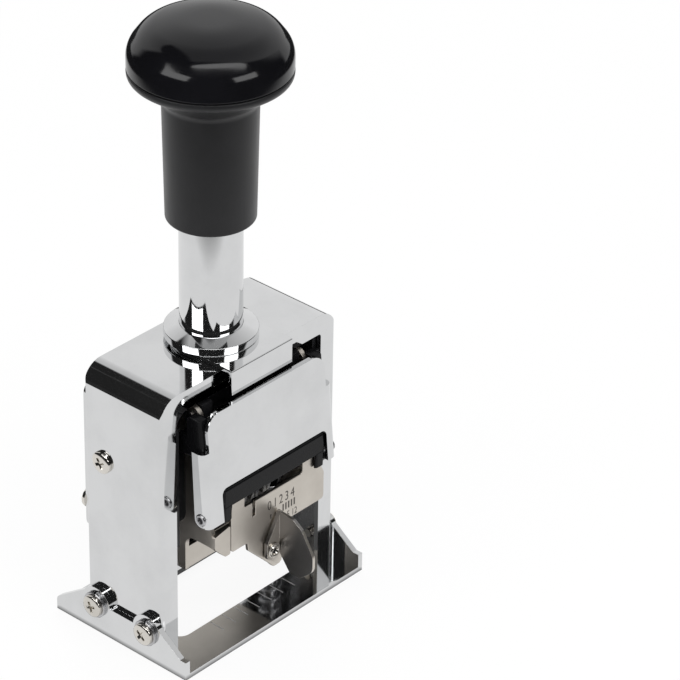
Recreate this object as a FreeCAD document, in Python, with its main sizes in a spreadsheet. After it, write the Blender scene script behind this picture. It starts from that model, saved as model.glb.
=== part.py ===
"""A hand numbering machine: knob, plunger, digit wheels, swinging pad arm and base.

Millimetres. X runs along the wheel axle, -Y is the dial side, +Z is up, and the
machine stands on Z = 0. Every place is worked out from the plunger's axis.
"""
import FreeCAD, Part
import math
import os
from types import SimpleNamespace

import Sketcher
from FreeCAD import Rotation, Vector

doc = FreeCAD.newDocument("numbering_machine")
sizes_sheet = doc.addObject("Spreadsheet::Sheet", "Sizes")
places_sheet = doc.addObject("Spreadsheet::Sheet", "Places")


class Size(float):
    """A number that remembers the sheet cell, or the sum of cells, that it came from."""

    def __new__(cls, number, text):
        size = float.__new__(cls, number)
        size.text = text
        return size

    def __add__(self, other):
        return Size(float(self) + float(other), "(%s + %s)" % (self.text, words(other)))

    def __radd__(self, other):
        return Size(float(other) + float(self), "(%s + %s)" % (words(other), self.text))

    def __sub__(self, other):
        return Size(float(self) - float(other), "(%s - %s)" % (self.text, words(other)))

    def __rsub__(self, other):
        return Size(float(other) - float(self), "(%s - %s)" % (words(other), self.text))

    def __mul__(self, other):
        return Size(float(self) * float(other), "(%s * %s)" % (self.text, words(other)))

    __rmul__ = __mul__

    def __truediv__(self, other):
        return Size(float(self) / float(other), "(%s / %s)" % (self.text, words(other)))

    def __neg__(self):
        return Size(-float(self), "(0 - %s)" % self.text)


def words(number):
    """The expression that stands for a number."""
    return number.text if isinstance(number, Size) else repr(float(number))


SIZES = {
    # Digit wheels on their axle.
    "wheel_count": 6,
    "digit_count": 10,
    "wheel_pitch": 4.0,
    "wheel_gap": 0.2,
    "type_radius": 9.5,
    "type_height": 1.2,
    "type_width": 2.4,
    "type_length": 3.6,
    "ratchet_width": 1.0,
    "ratchet_depth": 0.9,
    "axle_radius": 2.0,
    "axle_head": 0.4,
    "spacer_wall": 1.4,
    "clip_reach": 1.2,
    "clip_sheet": 0.5,
    # Clearances.
    "running_clearance": 0.05,
    "part_gap": 0.3,
    # Plunger, yoke and side plates.
    "travel": 22.0,
    "side_room": 2.8,
    "side_sheet": 1.2,
    "side_depth": 7.4,
    "side_drop": 7.5,
    "yoke_lift": 23.5,
    "yoke_height": 10.2,
    "yoke_front": 7.5,
    "yoke_back": 8.0,
    "arm_height": 5.2,
    "arm_depth": 5.2,
    "rivet_radius": 1.3,
    "tube_radius": 7.3,
    "tube_wall": 1.5,
    "seat_height": 3.0,
    # Handle and knob.
    "sleeve_clearance": 5.2,
    "sleeve_height": 29.8,
    "sleeve_radius": 10.3,
    "sleeve_top_radius": 10.9,
    "flare_height": 6.9,
    "knob_radius": 18.45,
    "knob_seam": 0.6,
    "knob_height": 11.4,
    "knob_wall": 3.0,
    "stud_reach": 6.0,
    # Casing and what is fixed to it.
    "casing_sheet": 1.2,
    "casing_room": 1.3,
    "casing_rise": 5.0,
    "casing_bend": 5.5,
    "flange_width": 5.0,
    "opening_drop": 5.0,
    "opening_corner": 4.3,
    "opening_corner_right": 0.8,
    "opening_gap": 2.3,
    "edge_round": 1.0,
    "lip_sheet": 1.0,
    "lip_margin": 0.55,
    "lip_right": 1.3,
    "lip_reach": 3.3,
    "lip_drop": 5.4,
    "collar_flange": 2.05,
    "collar_rim": 1.8,
    "collar_height": 3.1,
    "collar_neck": 0.85,
    "spigot_wall": 1.5,
    "nut_wall": 1.6,
    "nut_room": 0.35,
    "rear_sheet": 1.2,
    "rear_bottom": 25.0,
    "rear_window_height": 13.0,
    "rear_corner": 3.0,
    "rear_margin": 1.0,
    "screw_radius": 1.3,
    "screw_head_radius": 2.75,
    "screw_head_height": 1.2,
    "screw_reach": 2.2,
    "wall_screw_reach": 1.5,
    "recess_length_share": 0.6,
    "recess_width_share": 0.15,
    "washer_sheet": 0.8,
    "washer_reach": 0.35,
    "wall_screw_height": 47.0,
    "wall_screw_back": 6.3,
    "rear_screw_height": 33.0,
    "rail_sheet": 1.0,
    # Base plate.
    "base_sheet": 1.4,
    "base_front": 8.6,
    "base_back": 9.2,
    "window_front": 9.9,
    "window_back": 9.8,
    "window_corner": 3.0,
    "window_margin": 2.9,
    "ear_radius": 4.4,
    "ear_height": 7.6,
    "front_ear_inset": 3.8,
    "rear_ear_inset": 3.9,
    "valley_height": 8.1,
    "front_end_height": 4.9,
    "rear_end_height": 3.4,
    "rear_end_round": 1.5,
    # Guide rods and return springs.
    "rod_radius": 1.5,
    "rod_back": 2.6,
    "foot_radius": 2.1,
    "foot_height": 2.0,
    "spring_room": 0.35,
    "spring_wire": 0.9,
    # Swinging pad arm.
    "pivot_front": 10.0,
    "pivot_drop": 4.2,
    "pivot_radius": 1.5,
    "eye_radius": 3.2,
    "ear_width": 3.1,
    "ear_wall_share": 0.8,
    "swing_degrees": 65.0,
    "follower_back": 7.0,
    "follower_drop": 2.0,
    "follower_radius": 0.9,
    "follower_lobe": 2.1,
    "slot_clearance": 0.3,
    "cam_sheet": 1.2,
    "cam_front": 1.5,
    "cam_back": 1.2,
    "cam_foot": 4.5,
    "wing_gap": 0.4,
    "wing_sheet": 1.2,
    "wing_front": 13.9,
    "wing_back": 8.6,
    "tray_sheet": 1.0,
    "tray_depth": 8.4,
    "tray_wall": 6.0,
    "tray_lip": 3.0,
    "pillar_width": 3.4,
    "wing_bottom": 28.4,
    "pad_gap": 0.3,
    "pad_height": 2.1,
    "pad_half_width": 14.0,
    "pad_depth": 6.8,
    "dial_front": 17.8,
    "dial_sheet": 0.9,
    "dial_bottom": 24.9,
    "dial_height": 13.5,
    "dial_left": 12.2,
    "dial_right": 19.2,
    "dial_corner": 1.0,
    "tab_radius": 3.6,
    "carrier_sheet": 1.2,
    "cover_sheet": 1.2,
    "cover_bottom": 36.3,
    "cover_height": 27.9,
    "cover_front": 19.6,
    "cover_lean": 2.6,
    "cover_corner": 4.0,
    "cover_inset": 2.2,
    "cover_bend": 1.6,
    "cutout_height": 8.3,
    "cutout_left": 16.3,
    "cutout_right": 18.6,
    "cutout_corner": 1.6,
    "leg_depth": 4.2,
    "leg_height": 19.2,
    "leg_round": 2.1,
    "arm_width": 2.8,
    "cover_shank_radius": 1.0,
    "cover_rivet_radius": 1.5,
    "cover_rivet_head": 0.4,
    "lug_gap": 1.4,
    "lug_height": 5.3,
    # Repeat lever.
    "lever_gap": 0.3,
    "lever_sheet": 1.0,
    "lever_pivot_side": 0.6,
    "lever_pivot_height": 20.0,
    "lever_screw_radius": 1.1,
    "lever_head_radius": 1.9,
    "lever_head_height": 0.7,
    "pointer_length": 9.6,
    "blade_side": 3.4,
    "blade_reach": 10.4,
    # Feed arm, pawls and detents.
    "feed_sheet": 1.2,
    "feed_radius": 10.4,
    "feed_depth": 2.2,
    "feed_degrees": 40.0,
    "feed_start_degrees": 76.0,
    "pawl_sheet": 0.7,
    "pawl_share": 0.27,
    "arm_share": 0.9,
    "hook_share": 0.12,
    "core_share": 0.9,
    "detent_height": 4.4,
    "detent_back": 7.2,
    "detent_sheet": 0.5,
    "detent_bar": 2.0,
}


# Corners of outlines, each as shares of the piece's own sizes.
EAR_SHARES = {"rear_back": 0.45, "rear_rise": 0.8, "front_ahead": 0.5, "front_rise": 0.75, "end_back": 0.4}
FLARE_SHARES = {"bell_out": 0.78, "bell_drop": 0.62, "bell_round": 0.4, "rim_drop": 0.22, "rim_round": 0.1}
DOME_SHARES = {"wall_rise": 0.40, "wall_round": 0.34, "shoulder_out": 0.79, "shoulder_rise": 0.85,
               "shoulder_round": 0.42, "crown_out": 0.40, "crown_round": 1.5}
WING_SHARES = {"pillar_round": 0.7, "pillar_rise": 1.4, "eye_round": 0.9, "heel_round": 0.8}
NOTCH_SHARES = {"left": 0.64, "right": 0.615, "drop": 0.23, "slot_side": 0.38, "slot_drop": 0.29,
                "slope_out": 0.83, "slope_low": 0.55}
TAB_SHARES = {"shoulder": 2.05, "tip": 1.97, "tip_drop": 0.62, "waist": 0.03, "waist_drop": 1.25,
              "waist_round": 0.48, "bottom": 1.85, "bottom_side": 0.53, "side": 1.18, "side_drop": 1.45,
              "root": 1.63}
LEG_SHARES = {"heel_round": 0.9, "top_depth": 0.8}
STRIP_SHARE = 0.6
POINTER_SHARES = {"heel": -0.50, "heel_out": -0.43, "tip": 1.0, "tip_in": 0.4, "left": -0.21,
                  "left_high": 0.24, "left_low": -0.18, "foot": -0.34}
BLADE_SHARES = ((0.0, -0.03, 0.0), (0.0, 1.0, 0.0), (0.44, 0.96, 0.1), (0.68, 0.78, 0.15),
                (1.0, 0.14, 0.2), (1.0, -0.26, 0.28), (0.66, -0.63, 0.18), (0.38, -0.63, 0.12))
BLADE_SHEET_SHARE = 0.8


def fill_sizes():
    """Writes each driving dimension in its own cell and gives them all back by name."""
    named = SimpleNamespace()
    for row, (alias, number) in enumerate(SIZES.items(), start=1):
        sizes_sheet.set("A%d" % row, alias)
        sizes_sheet.set("B%d" % row, str(number))
        sizes_sheet.setAlias("B%d" % row, alias)
        setattr(named, alias, Size(number, "Sizes." + alias))
    return named


s = fill_sizes()
p = SimpleNamespace()


def place(alias, size):
    """Writes a worked-out place in the second sheet, under its own name."""
    row = len(vars(p)) + 1
    places_sheet.set("A%d" % row, alias)
    places_sheet.set("B%d" % row, "=" + size.text)
    places_sheet.setAlias("B%d" % row, alias)
    setattr(p, alias, Size(float(size), "Places." + alias))


def larger(first, second):
    """The larger of two sizes, in the sheets as here."""
    return Size(max(float(first), float(second)), "max(%s; %s)" % (first.text, second.text))


def work_out_places():
    """Stacks the machine outwards from the wheels, along X, then Y, then Z."""
    place("pack_half", s.wheel_count * s.wheel_pitch / 2)
    place("side_in", p.pack_half + s.side_room)
    place("side_out", p.side_in + s.side_sheet)
    place("wing_in", p.side_out + s.wing_gap)
    place("wing_out", p.wing_in + s.wing_sheet)
    place("cover_in", p.wing_out + s.arm_width)
    place("cover_out", p.cover_in + s.cover_sheet)
    place("opening_half", p.cover_out + s.opening_gap)
    place("casing_half", p.opening_half + s.flange_width)
    place("casing_in", p.casing_half - s.casing_sheet)
    place("base_half", p.casing_half + s.base_sheet)
    place("rail_in", p.casing_in - s.rail_sheet)
    place("window_half", p.opening_half - s.window_margin)
    place("rod_side", p.window_half + s.foot_radius + s.running_clearance)
    place("cam_out", p.opening_half - s.running_clearance)
    place("cam_in", p.cam_out - s.cam_sheet)
    place("spring_in", s.rod_radius + s.spring_room)
    place("spring_out", p.spring_in + s.spring_wire)

    place("guide_radius", s.tube_radius + s.running_clearance)
    place("spigot_radius", p.guide_radius + s.spigot_wall)
    place("nut_radius", p.spigot_radius + s.nut_wall)
    depth = larger(s.type_radius + s.casing_room, p.nut_radius + s.nut_room)
    place("casing_deep", depth + s.casing_sheet)
    place("front_ear", p.casing_deep - s.front_ear_inset)
    place("rear_ear", p.casing_deep - s.rear_ear_inset)
    place("front_edge", -(p.casing_deep + s.base_front))
    place("back_edge", p.casing_deep + s.base_back)
    place("lever_front", -(s.dial_front + s.lever_gap + s.lever_sheet + s.blade_reach))
    place("axis_y", -(p.lever_front + p.back_edge) / 2)

    place("axle_z", s.type_radius + s.travel)
    place("side_bottom", p.axle_z - s.side_drop)
    place("yoke_bottom", p.axle_z + s.yoke_lift)
    place("yoke_top", p.yoke_bottom + s.yoke_height)
    place("arm_bottom", p.yoke_top - s.arm_height)
    place("side_top", p.arm_bottom - s.part_gap)
    place("casing_top", p.yoke_top + s.casing_rise)
    place("casing_under", p.casing_top - s.casing_sheet)
    place("lip_top", p.casing_top + s.lip_sheet)
    place("collar_top", p.lip_top + s.collar_height)
    place("sleeve_bottom", p.collar_top + s.travel + s.sleeve_clearance)
    place("sleeve_top", p.sleeve_bottom + s.sleeve_height)
    place("seam_z", p.sleeve_top + s.flare_height)
    place("knob_bottom", p.seam_z + s.knob_seam)
    place("knob_top", p.knob_bottom + s.knob_height)
    place("foot_top", s.base_sheet + s.foot_height)
    place("pivot_y", -s.pivot_front)
    place("pivot_z", p.yoke_top - s.pivot_drop)
    place("pad_top", s.travel - s.pad_gap)
    place("tray_floor", p.pad_top - s.pad_height)
    place("tray_bottom", p.tray_floor - s.tray_sheet)
    place("dial_top", s.dial_bottom + s.dial_height)
    place("dial_back", -(s.dial_front - s.dial_sheet))
    place("cover_top", s.cover_bottom + s.cover_height)
    place("rivet_z", s.cover_bottom + s.leg_round)
    place("lever_back", -(s.dial_front + s.lever_gap))
    place("pointer_front", p.lever_back - s.lever_sheet)


work_out_places()


def bind(thing, **sizes):
    """Ties properties of an object to the sheets."""
    for name, size in sizes.items():
        thing.setExpression(name, words(size))


def put(thing, x, y, z):
    """Ties an object's place to the sheets, counted from the plunger's axis."""
    thing.setExpression(".Placement.Base.x", words(x))
    thing.setExpression(".Placement.Base.y", words(p.axis_y + y))
    thing.setExpression(".Placement.Base.z", words(z))


def box(name, x, y, z):
    """A block between two places on each axis."""
    block = doc.addObject("Part::Box", name)
    bind(block, Length=x[1] - x[0], Width=y[1] - y[0], Height=z[1] - z[0])
    put(block, x[0], y[0], z[0])
    return block


TURNS = {
    "X": Rotation(Vector(0, 1, 0), 90),
    "Y": Rotation(Vector(1, 0, 0), -90),
    "Z": Rotation(),
}


def rod(name, axis, radius, span, across):
    """A round bar along an axis, over a span of it, at a place across it."""
    bar = doc.addObject("Part::Cylinder", name)
    bar.Placement.Rotation = TURNS[axis]
    bind(bar, Radius=radius, Height=span[1] - span[0])
    low = span[0]
    starts = {"X": (low, across[0], across[1]), "Y": (across[0], low, across[1]),
              "Z": (across[0], across[1], low)}
    put(bar, *starts[axis])
    return bar


def cut(name, base, *tools):
    """What is left of a base when tools are taken out of it."""
    for number, tool in enumerate(tools):
        last = number == len(tools) - 1
        result = doc.addObject("Part::Cut", name if last else "%s_cut_%d" % (name, number))
        result.Base = base
        result.Tool = tool
        base = result
    return base


def fuse(name, *pieces):
    """Pieces made into one solid."""
    result = doc.addObject("Part::MultiFuse", name)
    result.Shapes = list(pieces)
    return result


def common(name, *pieces):
    """What all the pieces share."""
    result = doc.addObject("Part::MultiCommon", name)
    result.Shapes = list(pieces)
    return result


def group(name, *pieces):
    """Separate solids that share one node."""
    result = doc.addObject("Part::Compound", name)
    result.Links = list(pieces)
    return result


def tube(name, axis, outer, inner, span, across):
    """A round bar with a bore all the way through."""
    overrun = inner
    bore = rod(name + "_bore", axis, inner, (span[0] - overrun, span[1] + overrun), across)
    return cut(name, rod(name + "_bar", axis, outer, span, across), bore)


def fix(sketch, shape, point, u, v):
    """Holds a point of a sketch at a place that the sheets give."""
    for kind, size in (("DistanceX", u), ("DistanceY", v)):
        index = sketch.addConstraint(Sketcher.Constraint(kind, -1, 1, shape, point, float(size)))
        if isinstance(size, Size):
            sketch.setExpression("Constraints[%d]" % index, size.text)


def hold_radius(sketch, shape, radius):
    """Holds the radius of an arc or circle of a sketch."""
    index = sketch.addConstraint(Sketcher.Constraint("Radius", shape, float(radius)))
    sketch.setExpression("Constraints[%d]" % index, words(radius))


def corner_points(corners, number):
    """Where the round of a corner starts and ends, its centre and its sense of turn."""
    before, here, after = (Vector(*corners[(number + step) % len(corners)][:2], 0) for step in (-1, 0, 1))
    radius = float(corners[number][2]) if len(corners[number]) > 2 else 0.0
    back = (before - here).normalize()
    ahead = (after - here).normalize()
    if not radius:
        return here, here, here, 0
    half = back.getAngle(ahead) / 2
    reach = radius / math.tan(half)
    centre = here + (back + ahead).normalize() * (radius / math.sin(half))
    sense = 1 if back.cross(ahead).z < 0 else -1
    return here + back * reach, here + ahead * reach, centre, sense


def draw(sketch, corners):
    """Draws a closed outline of corners (u, v) or (u, v, radius), held by the sheets."""
    rounds = [corner_points(corners, number) for number in range(len(corners))]
    lines = []
    for number in range(len(corners)):
        start = rounds[number][1]
        end = rounds[(number + 1) % len(corners)][0]
        lines.append(sketch.addGeometry(Part.LineSegment(start, end), False))
    for number, corner in enumerate(corners):
        before, after = lines[number - 1], lines[number]
        start, end, centre, sense = rounds[number]
        if not sense:
            sketch.addConstraint(Sketcher.Constraint("Coincident", before, 2, after, 1))
            fix(sketch, after, 1, corner[0], corner[1])
            continue
        first, last = (start, end) if sense > 0 else (end, start)
        circle = Part.Circle(centre, Vector(0, 0, 1), float(corner[2]))
        arc = sketch.addGeometry(
            Part.ArcOfCircle(circle, circle.parameter(first), circle.parameter(last)), False)
        in_end, out_end = (1, 2) if sense > 0 else (2, 1)
        sketch.addConstraint(Sketcher.Constraint("Tangent", before, 2, arc, in_end))
        sketch.addConstraint(Sketcher.Constraint("Tangent", arc, out_end, after, 1))
        hold_radius(sketch, arc, corner[2])
        point = sketch.addGeometry(Part.Point(Vector(corner[0], corner[1], 0)), True)
        sketch.addConstraint(Sketcher.Constraint("PointOnObject", point, 1, before))
        sketch.addConstraint(Sketcher.Constraint("PointOnObject", point, 1, after))
        fix(sketch, point, 1, corner[0], corner[1])


def draw_circle(sketch, u, v, radius):
    """Draws a circle, held by the sheets."""
    circle = sketch.addGeometry(Part.Circle(Vector(u, v, 0), Vector(0, 0, 1), float(radius)), False)
    hold_radius(sketch, circle, radius)
    fix(sketch, circle, 3, u, v)


SHEET_TURNS = {
    "XY": Rotation(),
    "XZ": Rotation(Vector(1, 0, 0), 90),
    "YZ": Rotation(0.5, 0.5, 0.5, 0.5),
}


def prism(name, plane, corners, span, holes=()):
    """An outline on a plane, as thick as its span square to the plane."""
    sketch = doc.addObject("Sketcher::SketchObject", name + "_outline")
    sketch.Placement.Rotation = SHEET_TURNS[plane]
    draw(sketch, corners)
    for hole in holes:
        draw_circle(sketch, *hole)
    starts = {"XY": (0, 0, span[0]), "XZ": (0, span[1], 0), "YZ": (span[0], 0, 0)}
    put(sketch, *starts[plane])
    block = doc.addObject("Part::Extrusion", name)
    block.Base = sketch
    block.DirMode = "Normal"
    block.Solid = True
    bind(block, LengthFwd=span[1] - span[0])
    return block


def start_body(name):
    """A body on the plunger's axis."""
    body = doc.addObject("PartDesign::Body", name)
    put(body, 0, 0, 0)
    return body


def sketch_on(body, role, corners, name):
    """A sketch with one outline on an origin plane of its body."""
    plane = next(item for item in body.Origin.OriginFeatures if item.Role == role)
    sketch = body.newObject("Sketcher::SketchObject", name)
    sketch.AttachmentSupport = [(plane, "")]
    sketch.MapMode = "FlatFace"
    draw(sketch, corners)
    return sketch


def turned(name, profile):
    """A piece turned about the plunger's axis from its (radius, height) profile."""
    body = start_body(name)
    sketch = sketch_on(body, "XZ_Plane", profile, name + "_profile")
    turn = body.newObject("PartDesign::Revolution", name + "_turn")
    turn.Profile = sketch
    turn.ReferenceAxis = (sketch, ["V_Axis"])
    turn.Angle = 360
    return body


def side_span(side, low, high):
    """The same span on the right, or mirrored on the left."""
    return (low, high) if side > 0 else (-high, -low)


SIDES = (("left", -1), ("right", 1))


def make_base_plate():
    """A folded plate with a print window, and a flange with two ears up each side."""
    half = p.base_half
    floor = box("base_floor", (-half, half), (p.front_edge, p.back_edge), (0 * s.base_sheet, s.base_sheet))
    window = prism("base_window", "XY",
                   [(-p.window_half, -s.window_front, s.window_corner),
                    (p.window_half, -s.window_front, s.window_corner),
                    (p.window_half, s.window_back, s.window_corner),
                    (-p.window_half, s.window_back, s.window_corner)],
                   (-s.base_sheet, s.base_sheet * 2))
    outline = [
        (p.front_edge, 0),
        (p.back_edge, 0),
        (p.back_edge, s.rear_end_height, s.rear_end_round),
        (p.rear_ear + s.ear_radius * EAR_SHARES["rear_back"],
         s.ear_height + s.ear_radius * EAR_SHARES["rear_rise"]),
        (p.rear_ear, s.ear_height),
        (p.rear_ear - s.ear_radius, s.valley_height),
        (s.ear_radius - p.front_ear, s.valley_height),
        (-p.front_ear, s.ear_height),
        (-p.front_ear - s.ear_radius * EAR_SHARES["front_ahead"],
         s.ear_height + s.ear_radius * EAR_SHARES["front_rise"]),
        (p.front_edge + s.ear_radius * EAR_SHARES["end_back"], s.front_end_height),
        (p.front_edge, s.front_end_height),
    ]
    pieces = []
    for word, side in SIDES:
        span = side_span(side, p.casing_half, half)
        blank = fuse("flange_blank_" + word,
                     prism("flange_sheet_" + word, "YZ", outline, span),
                     rod("rear_ear_" + word, "X", s.ear_radius, span, (p.rear_ear, s.ear_height)),
                     rod("front_ear_" + word, "X", s.ear_radius, span, (-p.front_ear, s.ear_height)))
        holes = [rod("flange_hole_%s_%d" % (word, number), "X", s.screw_radius,
                     side_span(side, p.casing_in, half + s.base_sheet), (place_y, s.ear_height))
                 for number, place_y in enumerate((p.rear_ear, -p.front_ear))]
        pieces.append(cut("flange_" + word, blank, *holes))
    return fuse("base_plate", cut("base_with_window", floor, window), *pieces)


def casing_outline(inset, bottom, top, left_corner, right_corner):
    """The casing's arched outline, seen from the front, at an inset from its walls."""
    half = p.casing_half - inset
    return [(-half, bottom), (half, bottom), (half, top, right_corner), (-half, top, left_corner)]


def make_casing():
    """A box of bent sheet, open below, with a flange round its front and its back opening."""
    deep = p.casing_deep
    sheet = s.casing_sheet
    half = p.casing_half
    block = prism("casing_block", "XZ",
                  casing_outline(0, s.base_sheet, p.casing_top, s.casing_bend, s.casing_bend), (-deep, deep))
    plan = prism("casing_plan", "XY",
                 [(-half, -deep, s.edge_round), (half, -deep, s.edge_round),
                  (half, deep, s.edge_round), (-half, deep, s.edge_round)],
                 (s.base_sheet, p.casing_top))
    shell = common("casing_shell", block, plan)
    hollow = prism("casing_hollow", "XZ",
                   casing_outline(sheet, 0, p.casing_under, s.casing_bend - sheet, s.casing_bend - sheet),
                   (-deep + sheet, deep - sheet))
    opening = prism("casing_opening", "XZ",
                    casing_outline(s.flange_width, 0, p.casing_top - s.opening_drop,
                                   s.opening_corner, s.opening_corner_right),
                    (-deep * 2, deep * 2))
    bore = rod("casing_bore", "Z", p.spigot_radius, (p.casing_under - sheet, p.casing_top + sheet), (0, 0))
    holes = []
    for word, side in SIDES:
        span = side_span(side, p.rail_in, p.casing_half + sheet)
        spots = ((p.rear_ear, s.ear_height), (-p.front_ear, s.ear_height),
                 (s.wall_screw_back, s.wall_screw_height))
        holes += [rod("casing_hole_%s_%d" % (word, number), "X", s.screw_radius, span, spot)
                  for number, spot in enumerate(spots)]
        holes.append(rod("casing_rear_hole_" + word, "Y", s.screw_radius,
                         (deep - sheet * 2, deep + sheet), (side * p.rear_screw_side, s.rear_screw_height)))
    return cut("casing", shell, hollow, opening, bore, *holes)


def make_lip_plate():
    """A plate clamped under the collar, folded down in front of the casing."""
    half = p.spigot_radius + s.lip_margin
    across = (-half, half + s.lip_right)
    front = -(p.casing_deep + s.lip_reach)
    flat = fuse("lip_flat", box("lip_tongue", across, (front, 0), (p.casing_top, p.lip_top)),
                rod("lip_ring", "Z", half, (p.casing_top, p.lip_top), (0, 0)))
    fold = box("lip_fold", across, (front, front + s.lip_sheet),
               (p.lip_top - s.lip_drop - s.lip_sheet, p.lip_top))
    bore = rod("lip_bore", "Z", p.spigot_radius,
               (p.casing_top - s.lip_sheet, p.lip_top + s.lip_sheet), (0, 0))
    return cut("top_lip_plate", fuse("lip_sheet_blank", flat, fold), bore)


def make_collar():
    """The turned collar that guides the tube, with its spigot down through the casing."""
    inner = p.guide_radius
    return turned("plunger_collar", [
        (inner, p.spigot_bottom),
        (p.spigot_radius, p.spigot_bottom),
        (p.spigot_radius, p.lip_top),
        (p.collar_out, p.lip_top),
        (p.collar_out, p.lip_top + s.collar_rim, s.collar_rim / 5),
        (inner + s.collar_neck, p.collar_top, s.collar_rim),
        (inner, p.collar_top),
    ])


def make_collar_nut():
    """The ring nut that holds the collar under the casing's top."""
    return tube("collar_nut", "Z", p.nut_radius, p.spigot_radius,
                (p.spigot_bottom + s.part_gap, p.casing_under), (0, 0))


def make_rear_cover():
    """The plate behind the casing, notched below so that the wheels can be reached."""
    half = p.casing_half - s.edge_round
    top = p.casing_top - s.casing_bend
    low = s.rear_bottom
    notch = p.pack_half + s.rear_margin
    outline = [
        (-half, low, s.rear_corner),
        (-notch, low),
        (-notch, low + s.rear_window_height, s.rear_corner),
        (notch, low + s.rear_window_height, s.rear_corner),
        (notch, low),
        (half, low, s.rear_corner),
        (half, top, s.rear_corner),
        (-half, top, s.rear_corner),
    ]
    holes = [(side * p.rear_screw_side, s.rear_screw_height, s.screw_radius) for word, side in SIDES]
    return prism("rear_cover", "XZ", outline, (p.casing_deep, p.casing_deep + s.rear_sheet), holes)


def make_screw(name, axis, side, seat, shank_end, across):
    """A pan-head screw with a cross recess: its head is outside its seat on one side."""
    head_out = seat + s.screw_head_height
    head = rod(name + "_head", axis, s.screw_head_radius, side_span(side, seat, head_out), across)
    shank = rod(name + "_shank", axis, s.screw_radius - s.running_clearance,
                side_span(side, shank_end, seat + s.running_clearance), across)
    arm = s.screw_head_radius * s.recess_length_share
    width = s.screw_head_radius * s.recess_width_share
    bottom = side_span(side, seat + s.screw_head_height / 2, head_out + width)
    first, second = across
    slots = []
    for number, (a, b) in enumerate(((arm, width), (width, arm))):
        ranges = [(first - a, first + a), (second - b, second + b)]
        ranges.insert("XYZ".index(axis), bottom)
        slots.append(box("%s_slot_%d" % (name, number), *ranges))
    return cut(name, fuse(name + "_blank", head, shank), *slots)


def make_screws():
    """All the casing's screws, and the spring washers under the lower ones."""
    base, wall, rear, washers = [], [], [], []
    washer_out = p.base_half + s.washer_sheet
    washer_radius = s.screw_head_radius + s.washer_reach
    for word, side in SIDES:
        for spot, place_y in (("rear", p.rear_ear), ("front", -p.front_ear)):
            across = (place_y, s.ear_height)
            base.append(make_screw("base_screw_%s_%s" % (word, spot), "X", side, washer_out,
                                   p.rail_in - s.screw_reach, across))
            washers.append(make_spring_washer("base_washer_%s_%s" % (word, spot), side,
                                              washer_radius, across))
        wall.append(make_screw("wall_screw_" + word, "X", side, p.casing_half,
                               p.rail_in - s.wall_screw_reach, (s.wall_screw_back, s.wall_screw_height)))
        rear.append(make_screw("rear_screw_" + word, "Y", 1, p.casing_deep + s.rear_sheet,
                               p.casing_deep - s.casing_sheet,
                               (side * p.rear_screw_side, s.rear_screw_height)))
    return {
        "base_screws": group("base_screws", *base),
        "base_spring_washers": group("base_spring_washers", *washers),
        "wall_screws": group("wall_screws", *wall),
        "rear_screws": group("rear_screws", *rear),
    }


def make_spring_washer(name, side, radius, across):
    """A ring with one narrow split."""
    span = side_span(side, p.base_half, p.base_half + s.washer_sheet)
    ring = tube(name + "_ring", "X", radius, s.screw_radius, span, across)
    slit = box(name + "_slit", span, (across[0] - s.washer_reach / 2, across[0] + s.washer_reach / 2),
               (across[1], across[1] + radius + s.washer_reach))
    return cut(name, ring, slit)


def make_side_rail(word, side):
    """The inner plate that the wall and base screws thread into."""
    depth = p.casing_deep - s.casing_sheet
    span = side_span(side, p.rail_in, p.casing_in)
    outline = [
        (-depth, s.base_sheet),
        (depth, s.base_sheet),
        (depth, p.casing_top - s.casing_bend * 2, s.rear_corner),
        (-depth, p.casing_top - s.casing_bend * 2, s.rear_corner),
    ]
    holes = [(place_y, height, s.screw_radius) for place_y, height in (
        (p.rear_ear, s.ear_height), (-p.front_ear, s.ear_height),
        (s.wall_screw_back, s.wall_screw_height))]
    return prism("side_rail_" + word, "YZ", outline, span, holes)


def follower_place(share):
    """Where the cam follower is, beside the frame, at a share of the stroke."""
    angle = math.radians(s.swing_degrees) * share
    back, down = float(s.follower_back), float(s.follower_drop)
    y = p.pivot_y + back * math.cos(angle) - down * math.sin(angle)
    z = p.pivot_z - s.travel * share - back * math.sin(angle) - down * math.cos(angle)
    return Vector(0, float(y), float(z))


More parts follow.
